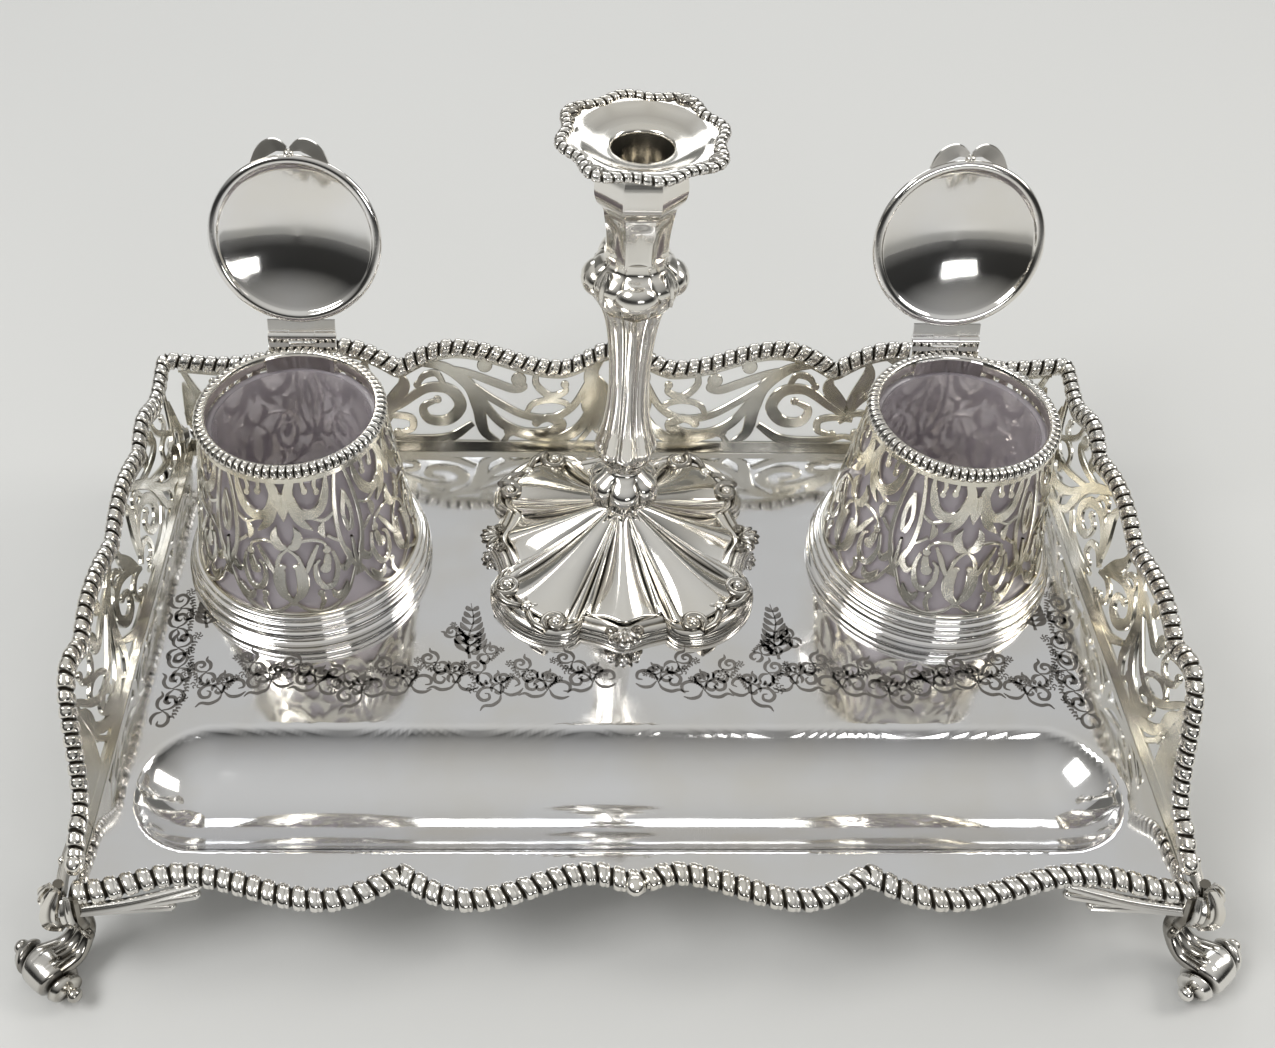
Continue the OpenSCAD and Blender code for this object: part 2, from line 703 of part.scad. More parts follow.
// Two leaves side by side on the front of the lid.
module thumbpiece() {
  color("silver") opened() translate([0, 0, pot_height + lid_gap + 0.3]) difference() {
    linear_extrude(thumb_thick) {
      for (m = [-1, 1])
        translate([m * thumb_width * 0.24, -lid_radius + 0.2]) rotate([0, 0, -m * 62])
          leaf_shape(thumb_width * 0.62, thumb_width * 0.3);
      translate([0, -lid_radius - 0.6]) circle(r = 2.4, $fn = round_fn);
    }
    translate([0, 0, -cut_over]) cylinder(r = lid_radius, h = thumb_thick + 2 * cut_over, $fn = pot_fn);
  }
}

// ---- Taper stick: each piece is drawn around its own axis, with the deck's top face at z = 0.
knop_z = dome_height;
stem_z = knop_z + knop_height;
shoulder_z = stem_z + stem_height;
socket_z = shoulder_z + shoulder_height;
mouth_z = socket_z + socket_height;
sleeve_radius = taper_radius + sleeve_wall;
bore_radius = sleeve_radius + sleeve_gap;
socket_bulge_radius = bore_radius + socket_bulge_wall;
socket_mouth_radius = bore_radius + socket_mouth_wall;
bore_depth = sleeve_length + 1;
dome_rim_radius = stick_waist_radius - 1.5;
knop_neck = 5.5;
socket_foot_radius = socket_waist_radius + 0.3;

module at_stick() {
  translate([0, stick_y, deck_height]) children();
}

function spread(from, to, t) = from + (to - from) * t;
// Smooth outline points from one radius to another between two heights.
function blend_line(r0, z0, r1, z1, n) = [
  for (i = [0:n]) [spread(r0, r1, ease(i / n, 0, 0)), spread(z0, z1, i / n)]
];
// Outline of a swell: out to r in the middle, back to the ends' radii.
function swell_line(r0, z0, r, r1, z1, n) = [
  for (i = [0:n])
    let (t = i / n, ends = t < 0.5 ? r0 : r1)
    [ends + (r - ends) * sin(180 * t), spread(z0, z1, t)]
];

// Plan of the foot: shells on the axes, lobes on the diagonals, hollows between.
function foot_plan_radius(a) =
  let (
    axis = abs(((a + 45) % 90) - 45),
    shell = exp(-pow(axis / 7, 2)),
    lobe = axis > 20 ? pow(sin((axis - 20) / 50 * 180), 0.45) : 0
  )
  stick_waist_radius + (stick_shell_radius - stick_waist_radius) * shell
    + (stick_lobe_radius - stick_waist_radius) * min(1, lobe);
module foot_plan(inset) {
  polygon([for (i = [0:143]) let (a = i * 2.5) (foot_plan_radius(a) - inset) * [cos(a), sin(a)]]);
}

module stick_moulding() {
  h = stick_moulding_height;
  color("gainsboro") difference() {
    union() {
      linear_extrude(h * 0.55) foot_plan(0);
      linear_extrude(h) foot_plan(2.2);
      for (i = [0:3])
        rotate([0, 0, 90 * i]) translate([stick_shell_radius - 4, 0, 0]) cylinder(r = 3.6, h = h + 1.6, $fn = 32);
      for (i = [0:3], m = [-1, 1])
        rotate([0, 0, 45 + 90 * i + 11 * m]) translate([stick_lobe_radius - 5.4, 0, 0])
          cylinder(r = 2.8, h = h + 1, $fn = 32);
    }
    translate([0, 0, -cut_over]) cylinder(r = stick_collar_radius + collar_gap, h = 2 * h + 2, $fn = pot_fn);
    translate([0, 0, h - dome_sheet]) cylinder(r = dome_rim_radius, h = h, $fn = pot_fn);
  }
}

// Rise of the dome at radius r: shallow at the edge, steep under the knop.
function dome_z(r) =
  let (t = (dome_rim_radius - r) / (dome_rim_radius - knop_neck))
  spread(stick_moulding_height, dome_height, pow(t, 1.6));
module stick_foot() {
  petals = 16;
  steps = 10;
  rib_angle = 5;
  rib_rise = 0.9;
  line = [for (i = [0:steps]) let (r = spread(dome_rim_radius, knop_neck, i / steps)) [r, dome_z(r)]];
  rib = [for (i = [0:steps]) let (r = spread(dome_rim_radius - 4, knop_neck + 6, i / steps)) [r, dome_z(r)]];
  color("silver") {
    rotate_extrude($fn = pot_fn) polygon(concat(line,
      [for (p = backwards(line)) [p[0] - 0.3, p[1] - dome_sheet]]));
    for (i = [0:petals - 1])
      rotate([0, 0, 360 / petals * i]) rotate_extrude(angle = rib_angle, $fn = pot_fn)
        polygon(concat([for (p = rib) [p[0], p[1] + rib_rise]], [for (p = backwards(rib)) [p[0], p[1] - 0.5]]));
  }
}

module stick_knop() {
  color("silver") translate([0, 0, knop_z]) rotate_extrude($fn = 64)
    polygon(concat([[0, 0]], swell_line(knop_neck, 0, knop_radius, knop_neck, knop_height, 16), [[0, knop_height]]));
}

module stem() {
  swell = stem_height * 0.11;
  waist = stem_height * 0.46;
  rise = stem_height - waist;
  color("silver") translate([0, 0, stem_z]) rotate_extrude($fn = 64) polygon(concat(
    [[0, 0]], blend_line(knop_neck, 0, stem_foot_radius, swell, 5),
    blend_line(stem_foot_radius, swell, stem_radius, waist, 8),
    [for (i = [1:8]) [spread(stem_radius, stem_top_radius, pow(i / 8, 3)), waist + rise * i / 8]],
    [[0, stem_height]]
  ));
}

// The shoulder: a flared ring with eight rounded lobes.
module shoulder() {
  lobes = 8;
  mid = shoulder_height * 0.55;
  body = shoulder_radius - 3;
  color("silver") translate([0, 0, shoulder_z]) {
    rotate_extrude($fn = 64) polygon(concat(
      [[0, 0]], blend_line(stem_top_radius, 0, body, mid, 6),
      blend_line(body, mid, socket_foot_radius, shoulder_height, 6), [[0, shoulder_height]]
    ));
    for (i = [0:lobes - 1])
      rotate([0, 0, 360 / lobes * i]) translate([body - 1, 0, mid]) sphere(r = 4, $fn = 32);
  }
}

// The socket: a waisted body with eight flat panels and a bulged capital, bored for the sleeve.
module socket() {
  bulge_z = socket_height * 0.7;
  panels = 8;
  color("silver") translate([0, 0, socket_z]) difference() {
    intersection() {
      rotate_extrude($fn = 64) polygon(concat(
        [[0, 0]], blend_line(socket_foot_radius, 0, socket_waist_radius, socket_height * 0.12, 2),
        blend_line(socket_waist_radius, socket_height * 0.12, socket_bulge_radius, bulge_z, 8),
        blend_line(socket_bulge_radius, bulge_z, socket_mouth_radius, socket_height, 4), [[0, socket_height]]
      ));
      rotate([0, 0, 180 / panels])
        cylinder(r = socket_bulge_radius * 0.985 / cos(180 / panels), h = socket_height, $fn = panels);
    }
    translate([0, 0, socket_height - bore_depth]) cylinder(r = bore_radius, h = bore_depth + cut_over, $fn = 64);
  }
}

// The nozzle: a sleeve that drops into the socket, under a dished pan with a shaped edge.
module nozzle() {
  corners = 4;
  pan_turn = 11;
  dish = pan_radius - 5;
  color("gainsboro") translate([0, 0, mouth_z]) {
    rotate_extrude($fn = pot_fn) polygon([
      [taper_radius, -sleeve_length], [sleeve_radius, -sleeve_length], [sleeve_radius, 0],
      [socket_mouth_radius, 0], [dish, pan_height - 3], [dish, pan_height - 1.6],
      [socket_mouth_radius, 1.6], [taper_radius + 0.8, 1.2], [taper_radius, 0.6]
    ]);
    translate([0, 0, pan_height - 3]) difference() {
      linear_extrude(3) polygon([
        for (i = [0:119])
          let (a = 3 * i)
          (pan_radius + pan_wave * cos(2 * corners * (a - pan_turn)) ) * [cos(a), sin(a)]
      ]);
      translate([0, 0, -cut_over]) cylinder(r = dish - 0.5, h = 3 + 2 * cut_over, $fn = pot_fn);
    }
  }
}

tray_plate();
back_sheet();  // back_gallery
end_sheet(-1);  // left_gallery
end_sheet(1);  // right_gallery
back_band();  // back_border
end_band(-1);  // left_border
end_band(1);  // right_border
front_band();  // front_border
at_corner(-1, 1) corner_foot();  // front_left_foot
at_corner(1, 1) corner_foot();  // front_right_foot
at_corner(-1, -1) corner_foot();  // back_left_foot
at_corner(1, -1) corner_foot();  // back_right_foot
translate([-pot_x, pot_y, 0]) collar(pot_collar_radius);  // left_pot_collar
translate([pot_x, pot_y, 0]) collar(pot_collar_radius);  // right_pot_collar
translate([0, stick_y, 0]) collar(stick_collar_radius);  // stick_collar
at_pot(-1) drum();  // left_pot_drum
at_pot(1) drum();  // right_pot_drum
at_pot(-1) foot_moulding();  // left_foot_moulding
at_pot(1) foot_moulding();  // right_foot_moulding
at_pot(-1) base_plate();  // left_base_plate
at_pot(1) base_plate();  // right_base_plate
at_pot(-1) rim();  // left_rim
at_pot(1) rim();  // right_rim
at_pot(-1) hinge_plate();  // left_hinge_plate
at_pot(1) hinge_plate();  // right_hinge_plate
at_pot(-1) hinge_backing();  // left_hinge_backing
at_pot(1) hinge_backing();  // right_hinge_backing
at_pot(-1) hinge_pin();  // left_hinge_pin
at_pot(1) hinge_pin();  // right_hinge_pin
at_pot(-1) liner();  // left_liner
at_pot(1) liner();  // right_liner
at_pot(-1) lid();  // left_lid
at_pot(1) lid();  // right_lid
at_pot(-1) lid_leaf();  // left_lid_leaf
at_pot(1) lid_leaf();  // right_lid_leaf
at_pot(-1) thumbpiece();  // left_thumbpiece
at_pot(1) thumbpiece();  // right_thumbpiece
at_stick() stick_foot();
at_stick() stick_moulding();
at_stick() stick_knop();
at_stick() stem();  // stick_stem
at_stick() shoulder();  // stick_shoulder
at_stick() socket();  // stick_socket
at_stick() nozzle();
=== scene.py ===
"""Looks of the silver desk inkstand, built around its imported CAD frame.

Shapes are in millimetres in the CAD's own frame, and MM turns them into metres where a mesh is made.
Positions come from the boxes of the CAD nodes. Each sub-part and each kind of material has its function.
"""
import math

import bpy
import numpy as np
from mathutils import Matrix, Vector


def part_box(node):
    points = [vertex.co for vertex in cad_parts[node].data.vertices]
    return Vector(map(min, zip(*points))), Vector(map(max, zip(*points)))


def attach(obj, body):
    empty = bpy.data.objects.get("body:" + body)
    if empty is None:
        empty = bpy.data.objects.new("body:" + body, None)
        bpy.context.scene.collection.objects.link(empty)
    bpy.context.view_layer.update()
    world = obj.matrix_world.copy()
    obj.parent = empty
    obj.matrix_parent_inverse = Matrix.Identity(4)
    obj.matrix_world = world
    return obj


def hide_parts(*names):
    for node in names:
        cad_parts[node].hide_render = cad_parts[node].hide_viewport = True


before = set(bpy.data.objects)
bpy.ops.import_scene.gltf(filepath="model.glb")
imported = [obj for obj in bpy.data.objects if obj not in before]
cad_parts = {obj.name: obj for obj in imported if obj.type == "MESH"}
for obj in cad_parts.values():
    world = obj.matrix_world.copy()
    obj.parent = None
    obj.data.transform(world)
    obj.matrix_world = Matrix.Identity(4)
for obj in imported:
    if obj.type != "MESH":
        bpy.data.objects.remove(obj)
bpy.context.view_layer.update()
MM = 0.001
UP = Vector((0, 0, 1))
SLOTS = ("polished_silver", "cast_silver", "pierced_silver", "frosted_glass")


# ---- Places that the CAD nodes give, in millimetres ----
def box_mm(node):
    low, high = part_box(node)
    return low / MM, high / MM


def middle(node):
    low, high = box_mm(node)
    return (low + high) / 2


def radius_of(node):
    low, high = box_mm(node)
    return (high.x - low.x) / 2


deck_corner = box_mm("tray_plate")[1]
DECK_Z = deck_corner.z


def low_z(node):
    """How high a node's underside lies above the deck."""
    return box_mm(node)[0].z - DECK_Z


def high_z(node):
    return box_mm(node)[1].z - DECK_Z


# The deck's flat part ends where the panels rise, a flange inside the plate's edge.
FLANGE = 1.6
HALF_X = deck_corner.x - FLANGE
HALF_Y = deck_corner.y - FLANGE
POT = {side: middle(f"{side}_base_plate") for side in ("left", "right")}
STICK = middle("stick_knop")
KNOP_Z = low_z("stick_knop")
STEM_Z = low_z("stick_stem")
SHOULDER_Z = low_z("stick_shoulder")
SOCKET_Z = low_z("stick_socket")
MOUTH_Z = high_z("stick_socket")
NOZZLE_TOP = high_z("nozzle")
CORNER_H = high_z("back_gallery")
BACK_LEAN = math.radians(16)
END_LEAN = math.radians(10.5)
RIM_R = radius_of("left_rim")
RIM_LOW = low_z("left_rim")
RIM_TOP = high_z("left_rim")
DRUM_LOW = low_z("left_pot_drum")
POT_R = radius_of("left_foot_moulding")
DRUM_R0 = POT_R - 2.9
DRUM_R1 = RIM_R - 0.8
FOOT_TOP = high_z("left_foot_moulding")
LID_OPEN = math.radians(-107)


# ---- Mesh helpers ----
class Shells:
    """Several shells gathered into one mesh, with the painted shade at each point from 0 to 1: darkening
    painted into grooves, creases and undersides.
    """

    def __init__(self):
        self.verts, self.faces, self.painted_shade = [], [], []

    def grid(self, rows, close_rows=False, close_cols=True, cap=True, painted_shade=None):
        """Quads over a list of rows of points; cap closes the first and last row with a face."""
        count, width, base = len(rows), len(rows[0]), len(self.verts)
        for i in range(count if close_rows else count - 1):
            here, there = base + i * width, base + (i + 1) % count * width
            for j in range(width if close_cols else width - 1):
                k = (j + 1) % width
                self.faces.append((here + j, here + k, there + k, there + j))
        if cap and close_cols and not close_rows:
            self.faces.append(tuple(base + j for j in range(width - 1, -1, -1)))
            self.faces.append(tuple(base + (count - 1) * width + j for j in range(width)))
        self.verts += [tuple(p) for row in rows for p in row]
        self.painted_shade += painted_shade or [0.0] * (count * width)

    def piece(self, name, material, body, node=None, sharp=38):
        """The finished piece: it rides on a body, and stands for a CAD node where one is named."""
        mesh = bpy.data.meshes.new(name)
        mesh.from_pydata([tuple(c * MM for c in v) for v in self.verts], [], self.faces)
        # The painted shade goes to the materials as a point attribute, which darkens the base colour where it
        # is high.
        layer = mesh.attributes.new("painted_shade", "FLOAT", "POINT")
        layer.data.foreach_set("value", self.painted_shade)
        mesh.validate()
        mesh.shade_smooth()
        mesh.set_sharp_from_angle(angle=math.radians(sharp))
        mesh.materials.append(material)
        piece = bpy.data.objects.new(name, mesh)
        bpy.context.scene.collection.objects.link(piece)
        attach(piece, body)
        if node:
            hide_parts(node)
        kind = material.name.split(".")[0]
        kind if kind in SLOTS else SLOTS[0]
        return piece


def thicken(piece, thickness):
    """Turns a piece of one skin into sheet, inwards from its face."""
    sheet = piece.modifiers.new("sheet", "SOLIDIFY")
    sheet.thickness = thickness * MM
    sheet.offset = -1
    return piece


def angles(count):
    return [2 * math.pi * j / count for j in range(count)]


def around(a):
    """The directions out from an upright axis and along a circle round it, at angle a."""
    return Vector((math.cos(a), math.sin(a), 0)), Vector((-math.sin(a), math.cos(a), 0))


def across(a, sectors):
    """Where angle a lies across its sector, from -1 to 1, with a sector's middle at the front."""
    return (((a + math.pi / 2) / (2 * math.pi) * sectors + 0.5) % 1.0 - 0.5) * 2


def smooth(t):
    t = max(0.0, min(1.0, t))
    return t * t * (3 - 2 * t)


def hump(x, width):
    """A bell of height 1 round x = 0."""
    return math.exp(-(x / width) ** 2)


def swell(start, full, end):
    """A strip's width that swells from start to full and shrinks to end along it."""
    def width(t):
        edge = start if t < 0.5 else end
        return edge + (full - edge) * math.sin(math.pi * t)

    return width


def belly(least, more, start=0.0, run=1.0):
    """A width that rises from least by more and falls again, over part of half a turn."""
    return lambda t: least + more * math.sin(math.pi * (start + run * t))


def catmull(points, per=8):
    """A smooth line through control points of any dimension."""
    p = [np.array(q, float) for q in points]
    p = [2 * p[0] - p[1]] + p + [2 * p[-1] - p[-2]]
    out = []
    for a, b, c, d in zip(p, p[1:], p[2:], p[3:]):
        for k in range(per):
            t = k / per
            out.append(0.5 * (2 * b + (c - a) * t + (2 * a - 5 * b + 4 * c - d) * t * t
                              + (3 * b - a - 3 * c + d) * t * t * t))
    out.append(p[-2])
    return out


def arc_profile(points, per=6):
    return [tuple(p) for p in catmull(points, per)]


def spiral(centre, r0, r1, turns, start, x_axis, y_axis, n=40):
    """A volute that winds from radius r0 in to r1 in the plane of two axes."""
    x_axis, y_axis = np.array(x_axis, float), np.array(y_axis, float)
    out = []
    for i in range(n + 1):
        t = i / n
        r = r0 + (r1 - r0) * t ** 0.8
        a = start + turns * 2 * math.pi * t
        out.append(np.array(centre, float) + r * (math.cos(a) * x_axis + math.sin(a) * y_axis))
    return out


def heading(path, i):
    """The direction of a path at its point i."""
    d = path[min(i + 1, len(path) - 1)] - path[max(i - 1, 0)]
    return d / max(np.linalg.norm(d), 1e-9)


def turned(shells, centre, profile, count=96, shape=None, closed=True):
    """A shape turned about Z; shape(angle, r, z) may change r and z, and add the painted shade.

    A closed profile is a loop, and the ends of an open one are capped.
    """
    rows, painted_shade = [], []
    for r, z in profile:
        row = []
        for a in angles(count):
            # A shape's third value, where it gives one, is painted shade for that point.
            rr, zz, *shade_amount = shape(a, r, z) if shape else (r, z)
            row.append((centre[0] + rr * math.cos(a), centre[1] + rr * math.sin(a), centre[2] + zz))
            painted_shade.append(shade_amount[0] if shade_amount else 0.0)
        rows.append(row)
    shells.grid(rows, close_rows=closed, painted_shade=painted_shade)


def tube(shells, path, radius, count=12, up=UP):
    """A round bar along a 3D path; radius(t) gives its size."""
    rows = []
    path = [np.array(p, float) for p in path]
    for i, p in enumerate(path):
        d = heading(path, i)
        side = np.cross(d, np.array(up, float))
        if np.linalg.norm(side) < 1e-6:
            side = np.cross(d, np.array((1.0, 0.0, 0.0)))
        side /= np.linalg.norm(side)
        lift = np.cross(side, d)
        r = radius(i / (len(path) - 1))
        rows.append([p + r * (math.cos(a) * side + math.sin(a) * lift) for a in angles(count)])
    shells.grid(rows)


def ball(shells, centre, radii, axes=None, rings=8, count=14):
    """An ellipsoid; axes are the three directions that its radii run along."""
    axes = axes or (Vector((1, 0, 0)), Vector((0, 1, 0)), UP)
    pole = 1.52
    rows = []
    for i in range(rings + 1):
        e = max(-pole, min(pole, math.pi * (i / rings - 0.5)))
        row = []
        for a in angles(count):
            q = Vector(centre)
            q += axes[0] * radii[0] * math.cos(e) * math.cos(a)
            q += axes[1] * radii[1] * math.cos(e) * math.sin(a)
            q += axes[2] * radii[2] * math.sin(e)
            row.append(tuple(q))
        rows.append(row)
    shells.grid(rows)


def fan(shells, base, out, side, fingers, spread, reach, radii, rise=(0, 0), shorten=0):
    """A cast shell: fingers set round base, spread apart by an angle and lying out from it."""
    for j in range(fingers):
        step = j - (fingers - 1) / 2
        d = (out * math.cos(step * spread) + side * math.sin(step * spread)).normalized()
        centre = base + d * reach + UP * (rise[0] - rise[1] * abs(step))
        ball(shells, centre, (radii[0] - shorten * abs(step), *radii[1:]), (d, d.cross(UP), UP))


def ribbon(shells, path, width, thick, place, lift=0.0, bevel=0.28):
    """A flat strip cut from sheet, with chamfered edges, drawn in a plane that place(x, y, h) bends."""
    path = [np.array(p, float) for p in path]
    rows = []
    for i, p in enumerate(path):
        d = heading(path, i)
        left = np.array((-d[1], d[0]))
        w = width(i / (len(path) - 1)) / 2
        b = min(bevel, w * 0.5)
        h = thick / 2 + lift
        row = []
        for s, z in ((1, h - b), (1 - b / w, h), (b / w - 1, h), (-1, h - b),
                     (-1, b - h), (b / w - 1, -h), (1 - b / w, -h), (1, b - h)):
            q = p + left * w * s
            row.append(place(q[0], q[1], z))
        rows.append(row)
    shells.grid(rows)


def disc(shells, centre, r, thick, place, lift=0.0, count=20, bevel=0.3):
    """A round end of a scroll, cut from the same sheet."""
    h = thick / 2 + lift
    eye = r * 0.02
    rows = []
    for rr, z in ((eye, -h), (r - bevel, -h), (r, bevel - h), (r, h - bevel), (r - bevel, h), (eye, h)):
        rows.append([place(centre[0] + rr * math.cos(a), centre[1] + rr * math.sin(a), z)
                     for a in angles(count)])
    shells.grid(rows)


def blade(shells, path, width, thick, face, crown=0.35, rib=0.3, count=13):
    """A cast leaf along a 3D path: domed across, ribbed down the middle, tapering as width(t) says."""
    path = [np.array(p, float) for p in path]
    face = np.array(face, float)
    rows, painted_shade = [], []
    for i, p in enumerate(path):
        full = width(i / (len(path) - 1))
        d = heading(path, i)
        side = np.cross(d, face)
        side /= max(np.linalg.norm(side), 1e-9)
        out = np.cross(side, d)
        top, under = [], []
        for j in range(count):
            u = j / (count - 1) * 2 - 1
            bulge = crown * full * (1 - u * u)
            bulge += rib * hump(u, 0.2) - 0.25 * rib * hump(abs(u) - 0.55, 0.18)
            top.append(p + side * full / 2 * u + out * (thick / 2 + bulge))
            under.append(p + side * full / 2 * u * 0.9 - out * thick / 2)
            # Painted shade: darker in the channels beside the rib, and half dark all over the underside.
            painted_shade.append(0.7 * hump(abs(u) - 0.5, 0.14))
        painted_shade += [0.5] * count
        rows.append(top + under[::-1])
    shells.grid(rows, painted_shade=painted_shade)


def gadroon(shells, path, up, width, thick, pitch=4.3, lean=0.5, count=18, split=1.0):
    """A reeded border: a rounded band cut across by deep grooves, each reed split by a shallow one."""
    path = np.array(path, float)
    lengths = np.concatenate(([0.0], np.cumsum(np.linalg.norm(np.diff(path, axis=0), axis=1))))
    total = lengths[-1]
    reeds = max(2, round(total / pitch))
    steps = reeds * 12
    reach = 1.2
    up = np.array(up, float)

    def at(s):
        return np.array([np.interp(s, lengths, path[:, c]) for c in range(3)])

    rows, painted_shade = [], []
    for k in range(steps + 1):
        s = total * k / steps
        here = at(s)
        d = at(min(total, s + reach)) - at(max(0, s - reach))
        d /= np.linalg.norm(d)
        rise = up - d * (up @ d)
        rise /= np.linalg.norm(rise)
        side = np.cross(rise, d)
        row = []
        for a in angles(count):
            c = math.cos(a)
            place = (s / total * reeds + lean * c * 0.35) % 1.0
            deep = smooth((0.19 - min(place, 1 - place)) / 0.12)
            fine = split * hump(place - 0.62, 0.06)
            scale = 0.78 + 0.22 * math.sqrt(max(0.0, 1 - (2 * place - 1) ** 2)) - 0.16 * deep - 0.10 * fine
            row.append(here + side * (width / 2 * c * scale) + rise * (thick / 2 * math.sin(a) * scale))
            # Painted shade: dark in the deep grooves, fainter in the shallow split down each reed.
            painted_shade.append(max(deep, 0.45 * fine))
        rows.append(row)
    shells.grid(rows, painted_shade=painted_shade)


# ---- Materials; their distances are in metres ----
def new_material(name):
    """A node material, its tree and its shader."""
    material = bpy.data.materials.new(name)
    material.use_nodes = True
    return material, material.node_tree, material.node_tree.nodes["Principled BSDF"]


def noise(tree, scale, detail, stretch=(1, 1, 1)):
    """Clouds over the object's own coordinates."""
    where = tree.nodes.new("ShaderNodeTexCoord")
    mapping = tree.nodes.new("ShaderNodeMapping")
    mapping.inputs["Scale"].default_value = stretch
    tree.links.new(where.outputs["Object"], mapping.inputs["Vector"])
    clouds = tree.nodes.new("ShaderNodeTexNoise")
    clouds.inputs["Scale"].default_value = scale
    clouds.inputs["Detail"].default_value = detail
    tree.links.new(mapping.outputs["Vector"], clouds.inputs["Vector"])
    return clouds.outputs["Fac"]


def ramp(tree, value, *stops):
    """A colour that runs through stops, each of them a place and a colour."""
    node = tree.nodes.new("ShaderNodeValToRGB")
    elements = node.color_ramp.elements
    while len(elements) < len(stops):
        elements.new(0.5)
    for element, (place, colour) in zip(elements, stops):
        element.position = place
        element.color = (*colour, 1)
    tree.links.new(value, node.inputs["Fac"])
    return node.outputs["Color"]


def mix(tree, a, b, factor, blend="MIX"):
    node = tree.nodes.new("ShaderNodeMix")
    node.data_type = "RGBA"
    node.blend_type = blend
    node.inputs["Factor"].default_value = factor
    tree.links.new(a, node.inputs["A"])
    tree.links.new(b, node.inputs["B"])
    return node.outputs["Result"]


def bump(tree, height, strength, distance, under=None):
    """A bumped normal, over another one where under is given."""
    node = tree.nodes.new("ShaderNodeBump")
    node.inputs["Strength"].default_value = strength
    node.inputs["Distance"].default_value = distance
    tree.links.new(height, node.inputs["Height"])
    if under:
        tree.links.new(under, node.inputs["Normal"])
    return node.outputs["Normal"]


def silver(name, colour, rough, recess=0.0, hammer=0.0, stain=0.25):
    """Polished silver: painted shade in the grooves and creases, tarnish-tinted painted shade in concave
    hollows, slow stains, faint ripples and polishing scratches.
    """
    material, tree, shader = new_material(name)
    shader.inputs["Metallic"].default_value = 1.0
    white = (1, 1, 1)
    warm = [c + (c * f - c) * stain * 2 for c, f in zip(colour, (0.90, 0.84, 0.70))]
    base = ramp(tree, noise(tree, 28, 5), (0.42, colour), (0.78, warm))
    # Tarnish-tinted painted shade: concave places, found by pointiness, are darkened in the base colour.
    if recess:
        geometry = tree.nodes.new("ShaderNodeNewGeometry")
        hollow = ramp(tree, geometry.outputs["Pointiness"], (0.44, (0.13, 0.115, 0.09)), (0.505, white))
        base = mix(tree, base, hollow, recess, "MULTIPLY")
    # Painted shade from the mesh's point attribute: near black where it is high, with rougher metal there
    # too.
    attribute = tree.nodes.new("ShaderNodeAttribute")
    attribute.attribute_name = "painted_shade"
    shade_amount = attribute.outputs["Fac"]
    painted_shade_colour = ramp(tree, shade_amount, (0.12, white), (0.8, (0.045, 0.04, 0.032)))
    tree.links.new(mix(tree, base, painted_shade_colour, 1.0, "MULTIPLY"), shader.inputs["Base Color"])
    matt = ramp(tree, noise(tree, 90, 6), (0.35, (rough,) * 3), (0.8, (rough * 2.1,) * 3))
    dull = ramp(tree, shade_amount, (0.2, (0, 0, 0)), (0.8, (0.4, 0.4, 0.4)))
    tree.links.new(mix(tree, matt, dull, 1.0, "ADD"), shader.inputs["Roughness"])
    ripples = bump(tree, noise(tree, 55, 2), 0.05 + hammer, 0.0006)
    scratches = bump(tree, noise(tree, 900, 3, (1, 0.06, 0.3)), 0.05, 0.00008, ripples)
    tree.links.new(scratches, shader.inputs["Normal"])
    return material


def frosted_glass():
    """The liners' glass: lilac-grey, satin, and partly see-through."""
    material, tree, shader = new_material("frosted_glass")
    shader.inputs["IOR"].default_value = 1.5
    shader.inputs["Transmission Weight"].default_value = 0.62
    cloud = noise(tree, 60, 6)
    tint = ramp(tree, cloud, (0, (0.74, 0.69, 0.73)), (1, (0.90, 0.85, 0.89)))
    tree.links.new(tint, shader.inputs["Base Color"])
    matt = ramp(tree, cloud, (0, (0.14,) * 3), (1, (0.28,) * 3))
    tree.links.new(matt, shader.inputs["Roughness"])
    tree.links.new(bump(tree, cloud, 0.12, 0.0002), shader.inputs["Normal"])
    return material


BRIGHT = silver("polished_silver", (0.86, 0.85, 0.84), 0.055)
DECK = silver("deck_silver", (0.80, 0.80, 0.81), 0.06, hammer=0.12)
CAST = silver("cast_silver", (0.84, 0.82, 0.78), 0.11, recess=0.85, hammer=0.1)
CAST_BRIGHT = silver("bright_cast_silver", (0.86, 0.84, 0.80), 0.07, recess=0.6, hammer=0.06)
PIERCED = silver("pierced_silver", (0.80, 0.78, 0.71), 0.13, recess=0.2, hammer=0.03, stain=0.5)
ENGRAVED = silver("engraved_silver", (0.20, 0.19, 0.18), 0.42)
GLASS = frosted_glass()


# ---- Tray ----
FOOT_STRIP = 4.2
RIM_STRIP = 2.4
SHEET = 1.2
BORDER_W = 5.6
BORDER_THICK = 4.8
FRONT_WAVE = 8
BACK_TOP = CORNER_H / math.cos(BACK_LEAN) - 0.4
END_TOP = CORNER_H / math.cos(END_LEAN) - 0.4
BACK_REACH = HALF_X + CORNER_H * math.tan(END_LEAN)
END_REACH = HALF_Y + CORNER_H * math.tan(BACK_LEAN)
